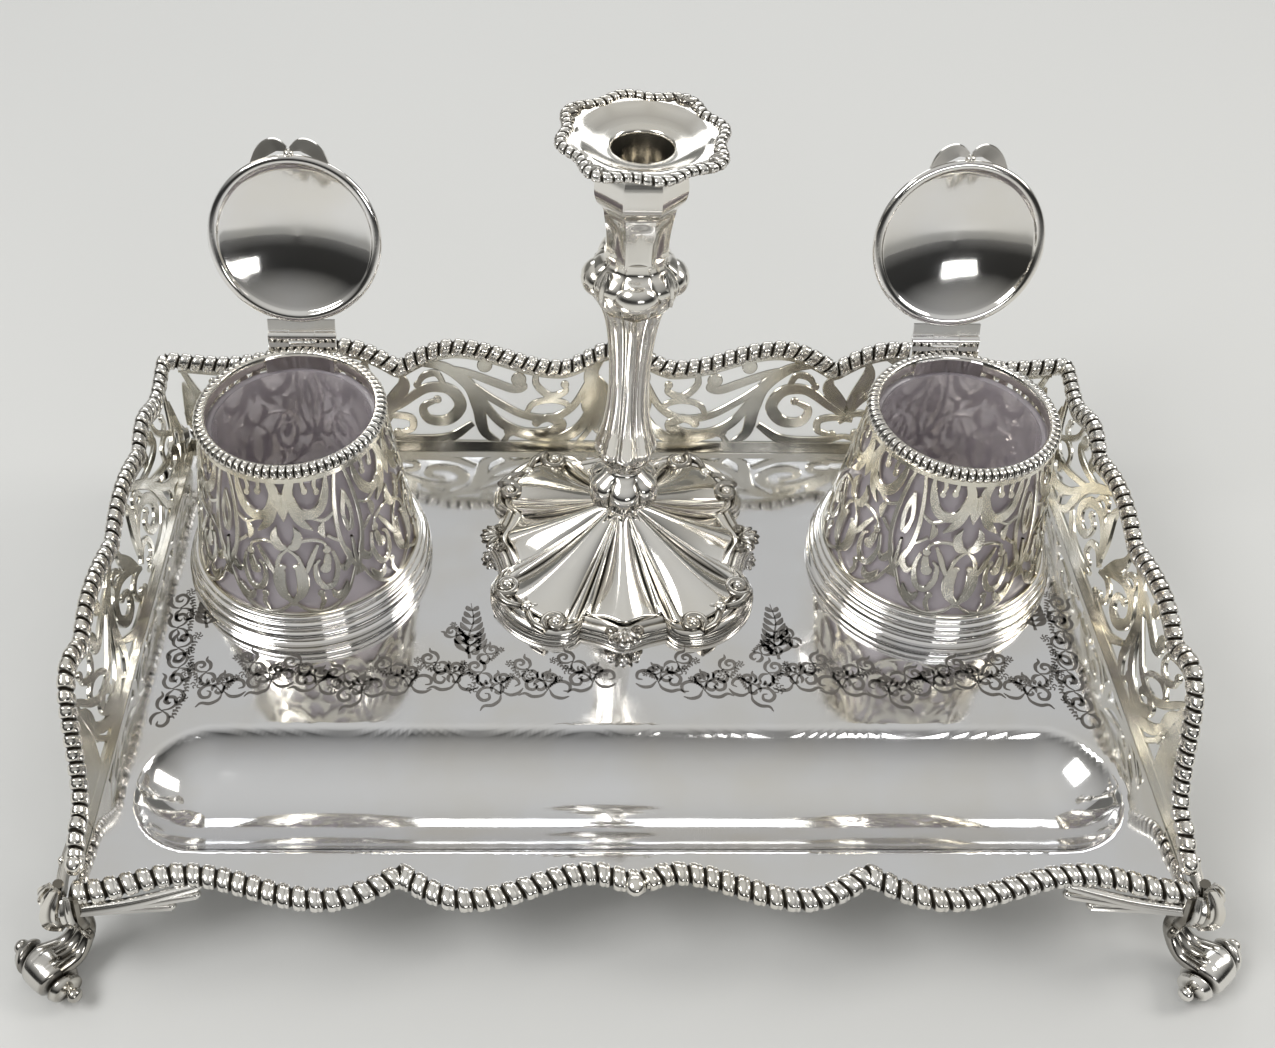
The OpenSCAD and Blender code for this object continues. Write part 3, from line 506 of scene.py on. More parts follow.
# The borders' waves, as knots along each side from 0 to 1: heights of the back from its middle out and of the
# ends from front to back, and the front's reach as a share of FRONT_WAVE, from its middle out.
BACK_KNOTS = [(0, 42.5, 0), (0.13, 35, 0), (0.36, 42.5, 0), (0.485, 34.4, 1),
              (0.61, 42.5, 0), (0.87, 35.4, 0), (1, BACK_TOP, 0)]
END_KNOTS = [(0, 6, 0), (0.06, 9.6, 0), (0.25, 36.7, 0), (0.3, 33.8, 1), (0.4, 37.3, 0), (0.52, 33.8, 1),
             (0.635, 37.3, 0), (0.742, 33.8, 1), (0.81, 37.3, 0), (0.895, 33.4, 0), (1, END_TOP, 0)]
FRONT_KNOTS = [(0, 0.3, 0), (0.075, 0, 0), (0.3, 1, 0), (0.425, 0.05, 1), (0.56, 1, 0), (0.82, 0.05, 0),
               (1, 0.7, 0)]
TROUGH_HALF = 20
TROUGH_LIP = 1.06
TROUGH_DEPTH = 12
TROUGH_Y = -HALF_Y + 7.5 + TROUGH_HALF
TROUGH_X = HALF_X - 9.6 - TROUGH_HALF


def knots(points, u):
    """A height between knots (place, height, cusp), eased, with a sharp turn where cusp is 1."""
    for (u0, h0, cusp0), (u1, h1, cusp1) in zip(points, points[1:]):
        if u <= u1 or u1 == points[-1][0]:
            t = min(1, max(0, (u - u0) / (u1 - u0)))
            if cusp0:
                eased = math.sin(math.pi / 2 * t)
            elif cusp1:
                eased = 1 - math.cos(math.pi / 2 * t)
            else:
                eased = (1 - math.cos(math.pi * t)) / 2
            return h0 + (h1 - h0) * eased


def back_top(x):
    return knots(BACK_KNOTS, abs(x) / BACK_REACH)


def end_top(y):
    return knots(END_KNOTS, (y + HALF_Y) / (END_REACH + HALF_Y))


def front_y(x):
    return -HALF_Y + 0.2 - FRONT_WAVE * knots(FRONT_KNOTS, abs(x) / HALF_X)


def on_back(x, v, h):
    """A point of the back panel: x along it, v up its slope, h out of its outer face."""
    return (x, HALF_Y + v * math.sin(BACK_LEAN) + h * math.cos(BACK_LEAN),
            DECK_Z + v * math.cos(BACK_LEAN) - h * math.sin(BACK_LEAN))


def on_end(side):
    """The same for an end panel, with y along it."""
    return lambda y, v, h: (side * (HALF_X + v * math.sin(END_LEAN) + h * math.cos(END_LEAN)), y,
                            DECK_Z + v * math.cos(END_LEAN) - h * math.sin(END_LEAN))


def normal_of(place):
    """The direction out of a panel's face."""
    return Vector(place(0, 0, 1)) - Vector(place(0, 0, 0))


def deck_height(x, y):
    """The deck's face: flat, rolled over softly into the long pen trough."""
    d = math.hypot(max(0, abs(x) - TROUGH_X), y - TROUGH_Y) / TROUGH_HALF / TROUGH_LIP
    if d > 1:
        return DECK_Z
    bowl = max(0, 1 - (d / 0.97) ** 2)
    return DECK_Z - TROUGH_DEPTH * 0.98 * bowl ** 0.92 - 0.35 * smooth((1 - d) / 0.1)


def deck():
    """The tray's plate as one sheet, waved at the front."""
    cols, rows = 240, 150
    past = 0.8
    top = []
    for j in range(rows + 1):
        row = []
        for i in range(cols + 1):
            x = (i / cols * 2 - 1) * (HALF_X + past)
            y0 = front_y(max(-HALF_X, min(HALF_X, x))) + 1.5
            y = y0 + (HALF_Y + past - y0) * j / rows
            row.append((x, y, deck_height(x, y)))
        top.append(row)
    shells = Shells()
    shells.grid(top, close_cols=False, cap=False)
    thicken(shells.piece("deck", DECK, "tray", "tray_plate", 60), 1.3)


# Scrolls of the pierced gallery: the widths of each at its start, middle and end, its line, and the radius
# of its round end. x runs from 0 at the motif's stem to 1, v from 0 at the foot strip to 1 at the border.
GALLERY_MOTIF = [
    ((2.4, 4.8, 2), [(0.44, 0), (0.36, 0.14), (0.33, 0.42), (0.28, 0.66), (0.14, 0.86), (0, 1)], 0),
    ((2.6, 3, 2), [(0.3, 0.66), (0.42, 0.52), (0.58, 0.38), (0.74, 0.36), (0.86, 0.5), (0.94, 0.74),
                       (1, 0.98)], 0),
    ((1.6, 3.2, 1.6), [(0.12, 0.87), (0.26, 0.8), (0.42, 0.73), (0.53, 0.7), (0.59, 0.76),
                       (0.56, 0.84)], 2.7),
    ((2, 2.4, 2.4), [(0.36, 1), (0.36, 0.95), (0.37, 0.91)], 2.7),
    ((2.6, 4.6, 2), [(0.33, 0.56), (0.44, 0.28), (0.58, 0.13), (0.73, 0.14), (0.8, 0.27), (0.73, 0.36),
                       (0.66, 0.28)], 1.6),
    ((1.4, 4.2, 1.6), [(0.56, 0.09), (0.74, 0.04), (0.88, 0.16), (0.95, 0.36), (0.93, 0.56)], 0),
    ((2, 2.4, 2), [(0.6, 0.38), (0.64, 0.54), (0.74, 0.62), (0.83, 0.56), (0.84, 0.44)], 0),
    ((2, 2.8, 1.6), [(0.66, 1), (0.66, 0.82), (0.74, 0.68), (0.82, 0.74), (0.82, 0.84)], 1.5),
    ((2, 4.4, 1.8), [(-0.22, 0.34), (-0.1, 0.56), (0.04, 0.66), (0.17, 0.6), (0.23, 0.42), (0.16, 0.26),
                       (0.05, 0.28), (0.02, 0.44), (0.1, 0.5)], 1.5),
    ((1.8, 4, 2.4), [(-0.2, 0.1), (-0.02, 0.03), (0.16, 0.05), (0.3, 0.22)], 0),
    ((1.8, 2.8, 1.6), [(-0.24, 0.3), (-0.14, 0.38), (-0.05, 0.32), (-0.05, 0.18), (-0.13, 0.13)], 1.7),
    ((1.8, 2.6, 1.5), [(0.14, 0.66), (0.1, 0.8), (0.03, 0.82), (-0.01, 0.74)], 1.4),
    ((2.4, 2, 2), [(0.47, 0), (0.5, 0.1), (0.51, 0.15)], 2.3),
    ((0.8, 5.5, 0.8), [(-0.1, 1), (-0.09, 0.8), (-0.16, 0.56), (-0.22, 0.4)], 0),
    ((2, 2.2, 2), [(0.9, 0), (0.97, 0.2), (1, 0.4)], 0),
    ((0.8, 6, 0.8), [(1, 0.22), (0.96, 0.5), (1, 0.8)], 0),
]


def gallery_motif(shells, place, scale, start, top, weight=1.0):
    """The scrolls once along a panel, from start to start + scale, between foot strip and border."""
    low = FOOT_STRIP - 0.6
    for k, (widths, line, end) in enumerate(GALLERY_MOTIF):
        points = []
        for x, v in line:
            along = start + x * scale
            points.append((along, low + v * (top(along) - BORDER_W + 0.8 - low)))
        path = catmull(points)
        lift = 0.012 * (k % 6)
        ribbon(shells, path, swell(*(w * weight for w in widths)), SHEET, place, lift)
        if end:
            disc(shells, path[-1], end, SHEET, place, lift + 0.006)


def strips(shells, place, low, high, top):
    """The solid strips along the foot and under the border of a panel, and the panel's own places."""
    def lifted(x, v, h):
        return place(x, v, h + SHEET / 2)

    ribbon(shells, [(x, FOOT_STRIP / 2) for x in np.linspace(low, high, 61)],
           lambda t: FOOT_STRIP, SHEET, lifted, 0.09)
    ribbon(shells, [(x, top(x) - BORDER_W + 0.2) for x in np.linspace(low, high, 160)],
           lambda t: RIM_STRIP, SHEET, lifted, 0.08)
    return lifted


def back_gallery():
    """The back panel: two motifs on each side of a pair of leaves at the middle."""
    shells = Shells()
    lifted = strips(shells, on_back, -HALF_X - 2, HALF_X + 2, back_top)
    for m in (-1, 1):
        gallery_motif(shells, lifted, -m * 62, m * 69, back_top)
        gallery_motif(shells, lifted, m * 58, m * 93, back_top)
        leaf = catmull([(m * 2, 5), (m * 7, 12), (m * 5, 22), (m * 9, 30), (m * 4, 38)])
        ribbon(shells, leaf, swell(2.5, 7, 1.2), SHEET, lifted, 0.05)
    shells.piece("back_scrollwork", PIERCED, "tray", "back_gallery")


def end_gallery(side, name):
    """An end panel: two motifs, and a plain wedge that falls to the front."""
    shells = Shells()
    lifted = strips(shells, on_end(side), -HALF_Y + 14, END_REACH - 8, end_top)
    start = -HALF_Y + 35
    span = (END_REACH - 10 - start) / 2
    gallery_motif(shells, lifted, -span * 0.78, start + span * 0.8, end_top, 0.9)
    gallery_motif(shells, lifted, span * 0.78, start + span * 1.2, end_top, 0.9)
    half = 0.5
    rows = []
    for y in np.linspace(-HALF_Y + 0.5, start + 3, 24):
        under_border = end_top(y) - BORDER_W
        low = min(max(0, y - start + 4) * 2.4 + 0.3, under_border)
        high = max(under_border + 1, low + 0.4)
        rows.append([lifted(y, low, -half), lifted(y, high, -half),
                     lifted(y, high, half + 0.02), lifted(y, low, half + 0.02)])
    shells.grid(rows)
    shells.piece(f"{name}_scrollwork", PIERCED, "tray", f"{name}_gallery")


def borders():
    """The four reeded borders, and the bead at the middle of the front one."""
    back = Shells()
    centre = BORDER_W / 2 - 0.1
    line = [on_back(x, back_top(x) - centre, SHEET / 2)
            for x in np.linspace(-BACK_REACH + 0.5, BACK_REACH - 0.5, 260)]
    gadroon(back, line, normal_of(on_back), BORDER_W + 0.9, BORDER_THICK)
    back.piece("back_reeds", CAST, "tray", "back_border", 80)
    for side, name in ((-1, "left"), (1, "right")):
        place = on_end(side)
        line = [place(y, end_top(y) - centre, SHEET / 2)
                for y in np.linspace(-HALF_Y + 0.5, END_REACH - 0.6, 200)]
        shells = Shells()
        gadroon(shells, line, normal_of(place), BORDER_W + 0.9, BORDER_THICK, pitch=4.0, split=0.4)
        ball(shells, line[0], (2.6, 3.0, 3.0))
        shells.piece(f"{name}_reeds", CAST, "tray", f"{name}_border", 80)
    front = Shells()
    line = [(x, front_y(x) + 0.1, DECK_Z - 0.9) for x in np.linspace(-HALF_X - 1.5, HALF_X + 1.5, 260)]
    gadroon(front, line, UP, BORDER_W + 1.4, BORDER_THICK + 0.6)
    ball(front, (0, front_y(0) - 1.2, DECK_Z - 0.4), (3.0, 3.4, 2.4))
    for m in (-1, 1):
        ball(front, (m * 3.6, front_y(0) + 0.4, DECK_Z - 0.6), (1.5, 2.6, 2.0))
    front.piece("front_reeds", CAST, "tray", "front_border", 80)


def rolled_toe(shells, toe, along, out):
    """The toe: a bulging barrel cut by two spiral grooves, with a small bud at each end."""
    radius, tip, shoulder, bud = 5.9, 13.3, 0.72, 2.15
    steps, count = 72, 40
    rows, painted_shade = [], []
    for i in range(steps + 1):
        s = i / steps * 2 - 1
        size = max(radius * (1 - abs(s) ** 2.2) ** 0.62 * 0.98 + 0.1, 0.12)
        if abs(s) > shoulder:
            q = (abs(s) - 0.86) / 0.14
            size = max(bud * math.sqrt(max(0.0, 1 - q * q)), 0.12 if abs(s) > 0.95 else 1.3)
        row = []
        for a in angles(count):
            turn = (s * tip * 0.20 - a / (2 * math.pi) * math.copysign(1, s)) % 1.0
            groove = hump(min(turn, 1 - turn), 0.15) * smooth((abs(s) - 0.14) / 0.08) * (abs(s) < 0.76)
            r = size * (1 - 0.42 * groove)
            # Painted shade along the spiral grooves.
            painted_shade.append(groove ** 0.8)
            row.append(toe + along * s * tip + out * r * math.cos(a) + np.array((0, 0, r * math.sin(a))))
        rows.append(row)
    shells.grid(rows, painted_shade=painted_shade)


def foot(name, fx, fy):
    """One cast foot: a rolled toe, a two-pronged leg, a keeled knee leaf, volutes and two leaf wings.

    fx and fy are 1 or -1 and say which corner it stands at.
    """
    shells = Shells()
    toe_x, toe_y = 0.615, 0.788
    out = np.array((fx * toe_x, fy * toe_y, 0.0))
    along = np.array((-fx * toe_y, fy * toe_x, 0.0))

    def at(x, y, z):
        return np.array((fx * (HALF_X + x), fy * (HALF_Y + y), z), float)

    def up(z):
        return np.array((0, 0, z), float)

    toe = at(11, 15, 5.9)
    rolled_toe(shells, toe, along, out)
    for m in (-1, 1):
        leg = [toe + along * m * 4.4 - out + up(3.2), at(5.4, 9.6, 8.2) + along * m * 3.2,
               at(2.2, 5.6, 12.4) + along * m * 2.4, at(1.8, 4.6, 17) + along * m * 2.2,
               at(3.0, 5.6, 22) + along * m * 1.8]
        tube(shells, catmull(leg), belly(2.3, -0.5))
    web = [toe - out * 2 + up(3), at(5.0, 9.0, 8.6), at(1.8, 5.0, 13), at(2.0, 4.8, 20)]
    tube(shells, catmull(web), lambda t: 2.0, 10)
    knee = [at(4.0, 7.0, DECK_Z + 3.0), at(6.2, 9.6, DECK_Z - 1.0), at(6.6, 10.0, DECK_Z - 7),
            at(4.6, 8.0, DECK_Z - 13)]
    blade(shells, catmull(knee), lambda t: 0.8 + 5.4 * math.sin(math.pi * min(1, 0.1 + t * 0.9)) ** 0.9,
          1.4, out, 0.16, 1.5)
    for m in (-1, 1):
        flank = [at(4.0, 7.0, DECK_Z + 2.0) + along * m * 3.2, at(5.2, 8.6, DECK_Z - 2.5) + along * m * 5.0,
                 at(4.4, 7.8, DECK_Z - 8.5) + along * m * 4.6]
        blade(shells, catmull(flank), belly(0.8, 3.4, 0.1, 0.85), 1.1, out, 0.2, 0.7)
        eye = at(3.2, 6.4, DECK_Z - 13.5) + along * m * 5.4
        curl = spiral(eye, 3.0, 0.7, 1.25 * m, math.pi / 2, along, UP)
        tube(shells, curl, lambda t: 1.25 - 0.35 * t, 10, out)
        ball(shells, eye, (1.3, 1.3, 1.3))
        stalk = [eye + up(3.0), at(3.4, 6.8, DECK_Z - 6) + along * m * 4.6,
                 at(2.6, 5.6, DECK_Z + 0.5) + along * m * 3.2]
        tube(shells, catmull(stalk), lambda t: 1.5, 10)
    long_root = at(2.4, 8.4, DECK_Z - 5) if fy < 0 else at(3.6, 6.0, DECK_Z - 5)
    for root, way, length, face, studs in (
            (long_root, (-fx, -fy * 0.17, 0), 34, (0, fy, 0), False),
            (at(5.2, 3.4, DECK_Z - 5), (-fx * 0.02, -fy, 0), 19, (fx, 0, 0), True)):
        way, face = np.array(way), np.array(face)
        for reach, rise, thick in ((1.0, 3.0, 1.5), (0.97, -1.2, 1.3), (0.76, -5.0, 1.2)):
            end = root + way * length * reach + up(rise)
            bend = root + way * length * reach * 0.5 + up(rise * 0.25 + 0.4) + face * 0.8
            blade(shells, catmull([root, bend, end], 10), lambda t: 3.6 - 1.9 * t, thick, face, 0.3, 0.6)
            ball(shells, end, (1.4, 1.4, 1.25))
            if studs:
                ball(shells, bend + face * 1.6, (1.2, 1.2, 1.2))
    shells.piece(f"{name}_cast", CAST, "tray", name, 50)


# ---- Deck engraving ----
CUT = 0.04


def figure(x, y, angle, size, flip=1):
    """Turns points of a figure's own plane into places on the deck."""
    c, s = math.cos(angle), math.sin(angle)

    def place(px, py, h):
        qx, qy = px * size, py * size * flip
        return (x + qx * c - qy * s, y + qx * s + qy * c, DECK_Z + 0.03 + h)

    return place


def cut(shells, line, per, width, place):
    """One engraved stroke, as a thin dark strip on the deck."""
    ribbon(shells, catmull(line, per), width, CUT, place, 0, 0.01)


def flourish(shells, x, y, angle, size, flip=1):
    """An engraved C-scroll with leaves and a small flower."""
    place = figure(x, y, angle, size, flip)
    fine = 0.62 / size
    for line in (
        [(0, 0), (2, 3), (5, 4), (7.4, 2), (6.6, -0.6), (4.4, -0.8), (3.8, 1), (5, 1.8)],
        [(0, 0), (-1.2, 3.4), (-4, 5), (-6.6, 4.2), (-7, 1.8), (-5.2, 1.2)],
        [(0, 0), (1.2, -2.4), (4, -3.6), (6.8, -3), (8.6, -4.4)],
        [(-0.6, 0.6), (-2.6, -1.6), (-5.4, -1.8), (-7.6, -0.4)],
    ):
        cut(shells, line, 5, belly(fine * 0.5, fine * 1.4), place)
    for a in angles(6):
        petal = [(8.2 + r * math.cos(b), 5.2 + r * math.sin(b))
                 for r, b in ((0.5, a), (1.5, a + 0.5), (2.1, a))]
        cut(shells, petal, 3, lambda t: fine * 0.7, place)
    for k in range(5):
        odd = k % 2
        leaf = [(-2 + k * 1.6, 4.4 + 0.5 * odd), (-1.4 + k * 1.6, 5.8 + 0.4 * odd), (-2 + k * 1.7, 6.8)]
        cut(shells, leaf, 3, lambda t: fine * (1.6 - t), place)


def sprig(shells, x, y, size, angle=math.pi / 2):
    """An upright engraved sprig."""
    place = figure(x, y, angle, size)
    fine = 0.8 / size
    cut(shells, [(0, 0), (5, 0.6), (10, -0.4), (15, 0.3)], 5, lambda t: fine * (1.3 - t), place)
    for k in range(7):
        base, reach = 1.5 + k * 1.9, 3.4 - k * 0.36
        for m in (-1, 1):
            line = [(base, 0), (base + reach * 0.5, m * reach * 0.7), (base + reach * 1.1, m * reach)]
            cut(shells, line, 4, belly(fine * 0.4, fine * 1.8), place)


def engraving():
    """A band of scrolls and flowers between the pots and the trough, turning up at both ends."""
    shells = Shells()
    upright = math.pi / 2
    for side in (-1, 1):
        half_turn = math.pi if side < 0 else 0
        for k in range(9):
            x = side * (10 + 14 * k)
            y = -21.5 + 2.4 * math.cos(k * 1.9)
            flourish(shells, x, y, side * 0.35 * math.sin(k * 2.3) + half_turn, 0.92, side)
            flourish(shells, x + side * 6, y + 8.2, side * (0.6 + 0.4 * math.sin(k)) + half_turn, 0.62, -side)
            flourish(shells, x + side, y + 4.0, side * (2.2 + 0.5 * math.cos(k)) + half_turn, 0.5, side)
        sprig(shells, side * 48, -10, 1.5)
        for k in range(3):
            flourish(shells, side * (43 + 5 * k), -8 + 3.4 * k, upright + (k - 1) * 0.7, 0.5, side)
        sprig(shells, side * 131, 2, 1.1, upright - side * 0.15)
        for k in range(6):
            turn = upright + side * 0.3 * math.cos(k * 2)
            flourish(shells, side * (139 - 2 * math.sin(k)), -30 + 8 * k, turn, 0.74, side)
    shells.piece("engraving", ENGRAVED, "tray")


# ---- Ink pots ----
DRUM_PANELS = 5
DRUM_SHEET = 0.9
# Scrolls of one half of a drum panel, written as the gallery's are: x runs from 0 at its middle to 1 at
# its edge, v from 0 at the foot to 1 at the rim.
DRUM_MOTIF = [
    ((3, 4.4, 0.7), [(0.19, 1), (0.11, 0.9), (0.17, 0.8), (0.26, 0.7), (0.42, 0.63)], 0),
    ((1.6, 2.6, 0.4), [(0.03, 0.9), (0.05, 0.82), (0, 0.71)], 0),
    ((2.4, 3.6, 1.3), [(0.16, 0.84), (0.28, 0.76), (0.46, 0.74), (0.62, 0.79), (0.72, 0.89), (0.76, 1)], 0),
    ((1.2, 1.7, 1.2), [(0.36, 1), (0.36, 0.95), (0.38, 0.91)], 1.3),
    ((1.2, 1.6, 1), [(0.6, 1), (0.55, 0.94), (0.57, 0.89)], 1.2),
    ((1.3, 1.7, 1.3), [(0.92, 1), (0.84, 0.84), (0.8, 0.66), (0.82, 0.5), (0.93, 0.33), (1.06, 0.22)], 0),
    ((1.2, 1.6, 1.2), [(1, 0.84), (0.93, 0.7), (0.98, 0.56), (1.07, 0.66), (1, 0.8)], 0),
    ((0.9, 1.2, 0.9), [(0.44, 0.71), (0.62, 0.68), (0.8, 0.72)], 0),
    ((0.8, 2.6, 0.5), [(0.6, 0.68), (0.55, 0.62), (0.58, 0.56)], 0),
    ((1.4, 3.4, 0.4), [(0.02, 0.52), (0.12, 0.53), (0.18, 0.6), (0.13, 0.67)], 0),
    ((1.1, 1, 1), [(0, 0.51), (0.16, 0.55), (0.36, 0.56), (0.54, 0.53), (0.58, 0.47)], 1.4),
    ((1.1, 1.1, 1.1), [(0.62, 0.57), (0.72, 0.53), (0.82, 0.5)], 0),
    ((1.2, 1.5, 1.2), [(0, 0.51), (0.13, 0.45), (0.2, 0.34), (0.17, 0.22), (0.08, 0.14), (-0.03, 0.09)], 0),
    ((1.4, 4.2, 0.6), [(0.01, 0.12), (0.13, 0.18), (0.17, 0.28), (0.13, 0.36), (0.05, 0.38)], 0),
    ((1, 1.9, 1.1), [(0.19, 0.3), (0.27, 0.36), (0.36, 0.44), (0.46, 0.52)], 0),
    ((1.1, 2.2, 0.8), [(0.66, 0.45), (0.7, 0.34), (0.62, 0.22), (0.48, 0.2), (0.38, 0.27), (0.38, 0.37),
                       (0.46, 0.41)], 0),
    ((1.6, 2.8, 1.4), [(0.58, 0.44), (0.56, 0.38), (0.52, 0.34)], 1.9),
    ((0.9, 1.3, 0.9), [(0, 0.11), (0.22, 0.04), (0.5, 0.03), (0.78, 0.12), (0.96, 0.28)], 0),
    ((0.8, 3, 0.6), [(0.8, 0.2), (0.72, 0.13), (0.62, 0.12), (0.56, 0.17)], 0),
    ((0.8, 2.6, 0.6), [(0.88, 0.44), (0.9, 0.36), (0.8, 0.3), (0.74, 0.33)], 0),
    ((0.9, 1.4, 0.9), [(1, 0.5), (1, 0.34), (1, 0.22)], 0),
    ((1, 1.6, 1), [(0.36, 0.04), (0.42, 0.1), (0.4, 0.16)], 1.2),
]


def pot_at(side, z=0.0):
    return (POT[side].x, POT[side].y, DECK_Z + z)


def drum_place(side):
    """Places on the tapering drum: a is mm round it at the foot's size, z above the deck, h outwards."""
    axis = POT[side]

    def place(a, z, h):
        t = (z - DRUM_LOW) / (RIM_LOW - DRUM_LOW)
        r = DRUM_R0 + (DRUM_R1 - DRUM_R0) * t - 0.5 + h
        turn = a / DRUM_R0
        return (axis.x + r * math.cos(turn), axis.y + r * math.sin(turn), DECK_Z + z)

    return place


def scroll_drum(side):
    """The drum: panels of thin scrolls between a plain strip at the foot and one under the rim."""
    shells = Shells()
    place = drum_place(side)
    girth = 2 * math.pi * DRUM_R0
    pitch = girth / DRUM_PANELS
    low, high = FOOT_TOP - 0.5, RIM_LOW + 0.3
    front = -girth / 4
    for panel in range(DRUM_PANELS):
        for m in (-1, 1):
            for k, (widths, line, end) in enumerate(DRUM_MOTIF):
                points = [(front + pitch * (panel + m * x / 2), low + v * (high - low)) for x, v in line]
                path = catmull(points, 6)
                lift = 0.014 * (k % 7) + (0.007 if m > 0 else 0)
                ribbon(shells, path, swell(*widths), DRUM_SHEET, place, lift, 0.2)
                if end:
                    disc(shells, path[-1], end, DRUM_SHEET, place, lift + 0.004, 14, 0.2)
    for z in (low + 0.2, high - 0.4):
        ring = [(a, z) for a in np.linspace(front, front + girth, 121)]
        ribbon(shells, ring, lambda t: 2.0, DRUM_SHEET, place, 0.1, 0.2)
    shells.piece(f"{side}_drum_scrollwork", PIERCED, f"{side}_pot", f"{side}_pot_drum")


def bead(r, z, size, squash=1.0, n=7):
    """Half a round moulding that bulges outwards from radius r, rising through height z."""
    return [(r + size * squash * math.sin(math.pi * i / n), z - size * math.cos(math.pi * i / n))
            for i in range(n + 1)]


def pot_base(side):
    """The stepped moulding round the pot's foot: a flat foot and three beads, closing in to the drum."""
    shells = Shells()
    r = POT_R
    profile = [(r - 4.5, 0.2), (r - 0.5, 0.2), (r, 0.5), (r, 1.5), (r - 0.5, 1.9)]
    profile += [(r - 1.0, 2.2)] + bead(r - 1.5, 4.1, 1.8, 0.75) + [(r - 1.8, 6.0)]
    profile += bead(r - 2.2, 7.6, 1.4, 0.75) + [(r - 2.6, 9.1)] + bead(r - 3.1, 10.1, 0.8, 0.8)
    profile += [(r - 4.2, FOOT_TOP), (r - 5.0, FOOT_TOP)]
    turned(shells, pot_at(side), profile, 128)
    shells.piece(f"{side}_pot_moulding", BRIGHT, f"{side}_pot", f"{side}_foot_moulding")


def pot_rim(side):
    """The reeded rim round a pot's mouth."""
    shells = Shells()
    reeds = 76
    h = RIM_TOP - RIM_LOW
    inner = RIM_R - 3.8
    profile = [(inner, 0.0), (RIM_R - 1.4, 0.0)]
    profile += [(RIM_R - 1.0 + math.sin(math.pi * i / 12), h * (0.06 + 0.86 * i / 12)) for i in range(13)]
    profile += [(RIM_R - 1.8, h * 0.98), (inner + 0.7, h), (inner, h - 0.5)]

    def reed(a, r, z):
        if r < RIM_R - 1.9:
            return r, z, 0.0
        place = (a / (2 * math.pi) * reeds) % 1.0
        groove = hump(min(place, 1 - place), 0.16)
        # The third value is painted shade in the grooves between the reeds.
        return r - 0.9 * groove, z - 0.3 * groove * (z > h * 0.7), groove ** 1.3

    turned(shells, pot_at(side, RIM_LOW), profile, reeds * 8, reed)
    shells.piece(f"{side}_rim_reeds", CAST, f"{side}_pot", f"{side}_rim", 80)


def pot_glass(side):
    """The glass liner: a tapering beaker with a thick round lip."""
    shells = Shells()
    node = f"{side}_liner"
    z0, z1, r0 = low_z(node), high_z(node), radius_of(node)
    r1 = DRUM_R1 - 1.6
    waist, half_way = (r0 + r1) / 2, (z0 + z1) / 2
    wall = 2.2
    profile = arc_profile([
        (0.3, z0), (r0 - 4, z0), (r0 - 1.2, z0 + 0.2), (r0 - 0.1, z0 + 1.6), (waist, half_way),
        (r1, z1 - 3), (r1 + 0.2, z1 - 1.2), (r1 - 0.8, z1), (r1 - wall, z1 - 0.5), (r1 - wall - 0.3, z1 - 3),
        (waist - wall, half_way), (r0 - wall - 0.6, z0 + 6), (r0 - wall - 3, z0 + 3.2), (0.3, z0 + 3)], 4)
    turned(shells, pot_at(side), profile)
    shells.piece(f"{side}_glass", GLASS, f"{side}_pot", node, 70)


def lid_frame(side):
    """Places on the open lid, given as x, y and z from its centre when it is closed."""
    hinge = middle(f"{side}_hinge_pin")
    rotation = Matrix.Rotation(LID_OPEN, 3, "X")
    centre = Vector(pot_at(side, RIM_TOP + 0.25))
    return lambda x, y, z: tuple(hinge + rotation @ (centre + Vector((x, y, z)) - hinge))


def pot_lid(side):
    """The lid: a low dome with a rolled edge, and a deep polished hollow inside a flat ring."""
    shells = Shells()
    place = lid_frame(side)
    r = radius_of(f"{side}_lid")
    top = arc_profile([(0.2, 7.3), (r * 0.45, 6.4), (r * 0.8, 4.0), (r - 2.6, 2.7)], 5)
    edge = [(r - 1.6, 2.5), (r - 0.7, 2.3), (r - 0.1, 1.6), (r, 1.0), (r - 0.3, 0.4), (r - 0.9, 0.05)]
    ring = [(r - 2.2, 0.05), (r - 2.8, 0.4), (r - 3.1, 1.0), (r - 3.6, 1.25)]
    hollow = [(r * c, 1.25 + 4.4 * (1 - (c / 0.86) ** 2)) for c in (0.82, 0.7, 0.55, 0.4, 0.25, 0.12, 0.01)]
    rows = [[place(rr * math.cos(a), rr * math.sin(a), z) for a in angles(112)]
            for rr, z in top + edge + ring + hollow]
    shells.grid(rows, close_rows=True)
    shells.piece(f"{side}_lid_shell", BRIGHT, f"{side}_lid", f"{side}_lid", 55)


def thumbpiece(side):
    """Two leaves and a bud at the lid's lip."""
    shells = Shells()
    place = lid_frame(side)
    r = radius_of(f"{side}_lid")
    for m in (-1, 1):
        leaf = [place(m * 0.6, -r - 1.6, 1.0), place(m * 4.2, -r - 2.6, 1.3),
                place(m * 8.0, -r - 0.6, 1.5), place(m * 11.4, -r + 3.4, 1.4)]
        blade(shells, catmull(leaf), belly(0.4, 4.2, 0.08, 0.86), 0.8, normal_of(place), 0.08, 0.3)
    ball(shells, place(0, -r - 0.4, 1.2), (1.6, 1.6, 1.2))
    shells.piece(f"{side}_thumb_leaves", CAST, f"{side}_lid", f"{side}_thumbpiece", 50)


# ---- Taper stick ----
SHELL_R = 44.0
WAIST_R = 41.5
LOBE_R = 50.5
DOME_INSET = 6.6
DOME_LOW = 4.3
SECTORS = 8


def stick_at(z=0.0):
    return (STICK.x, STICK.y, DECK_Z + z)


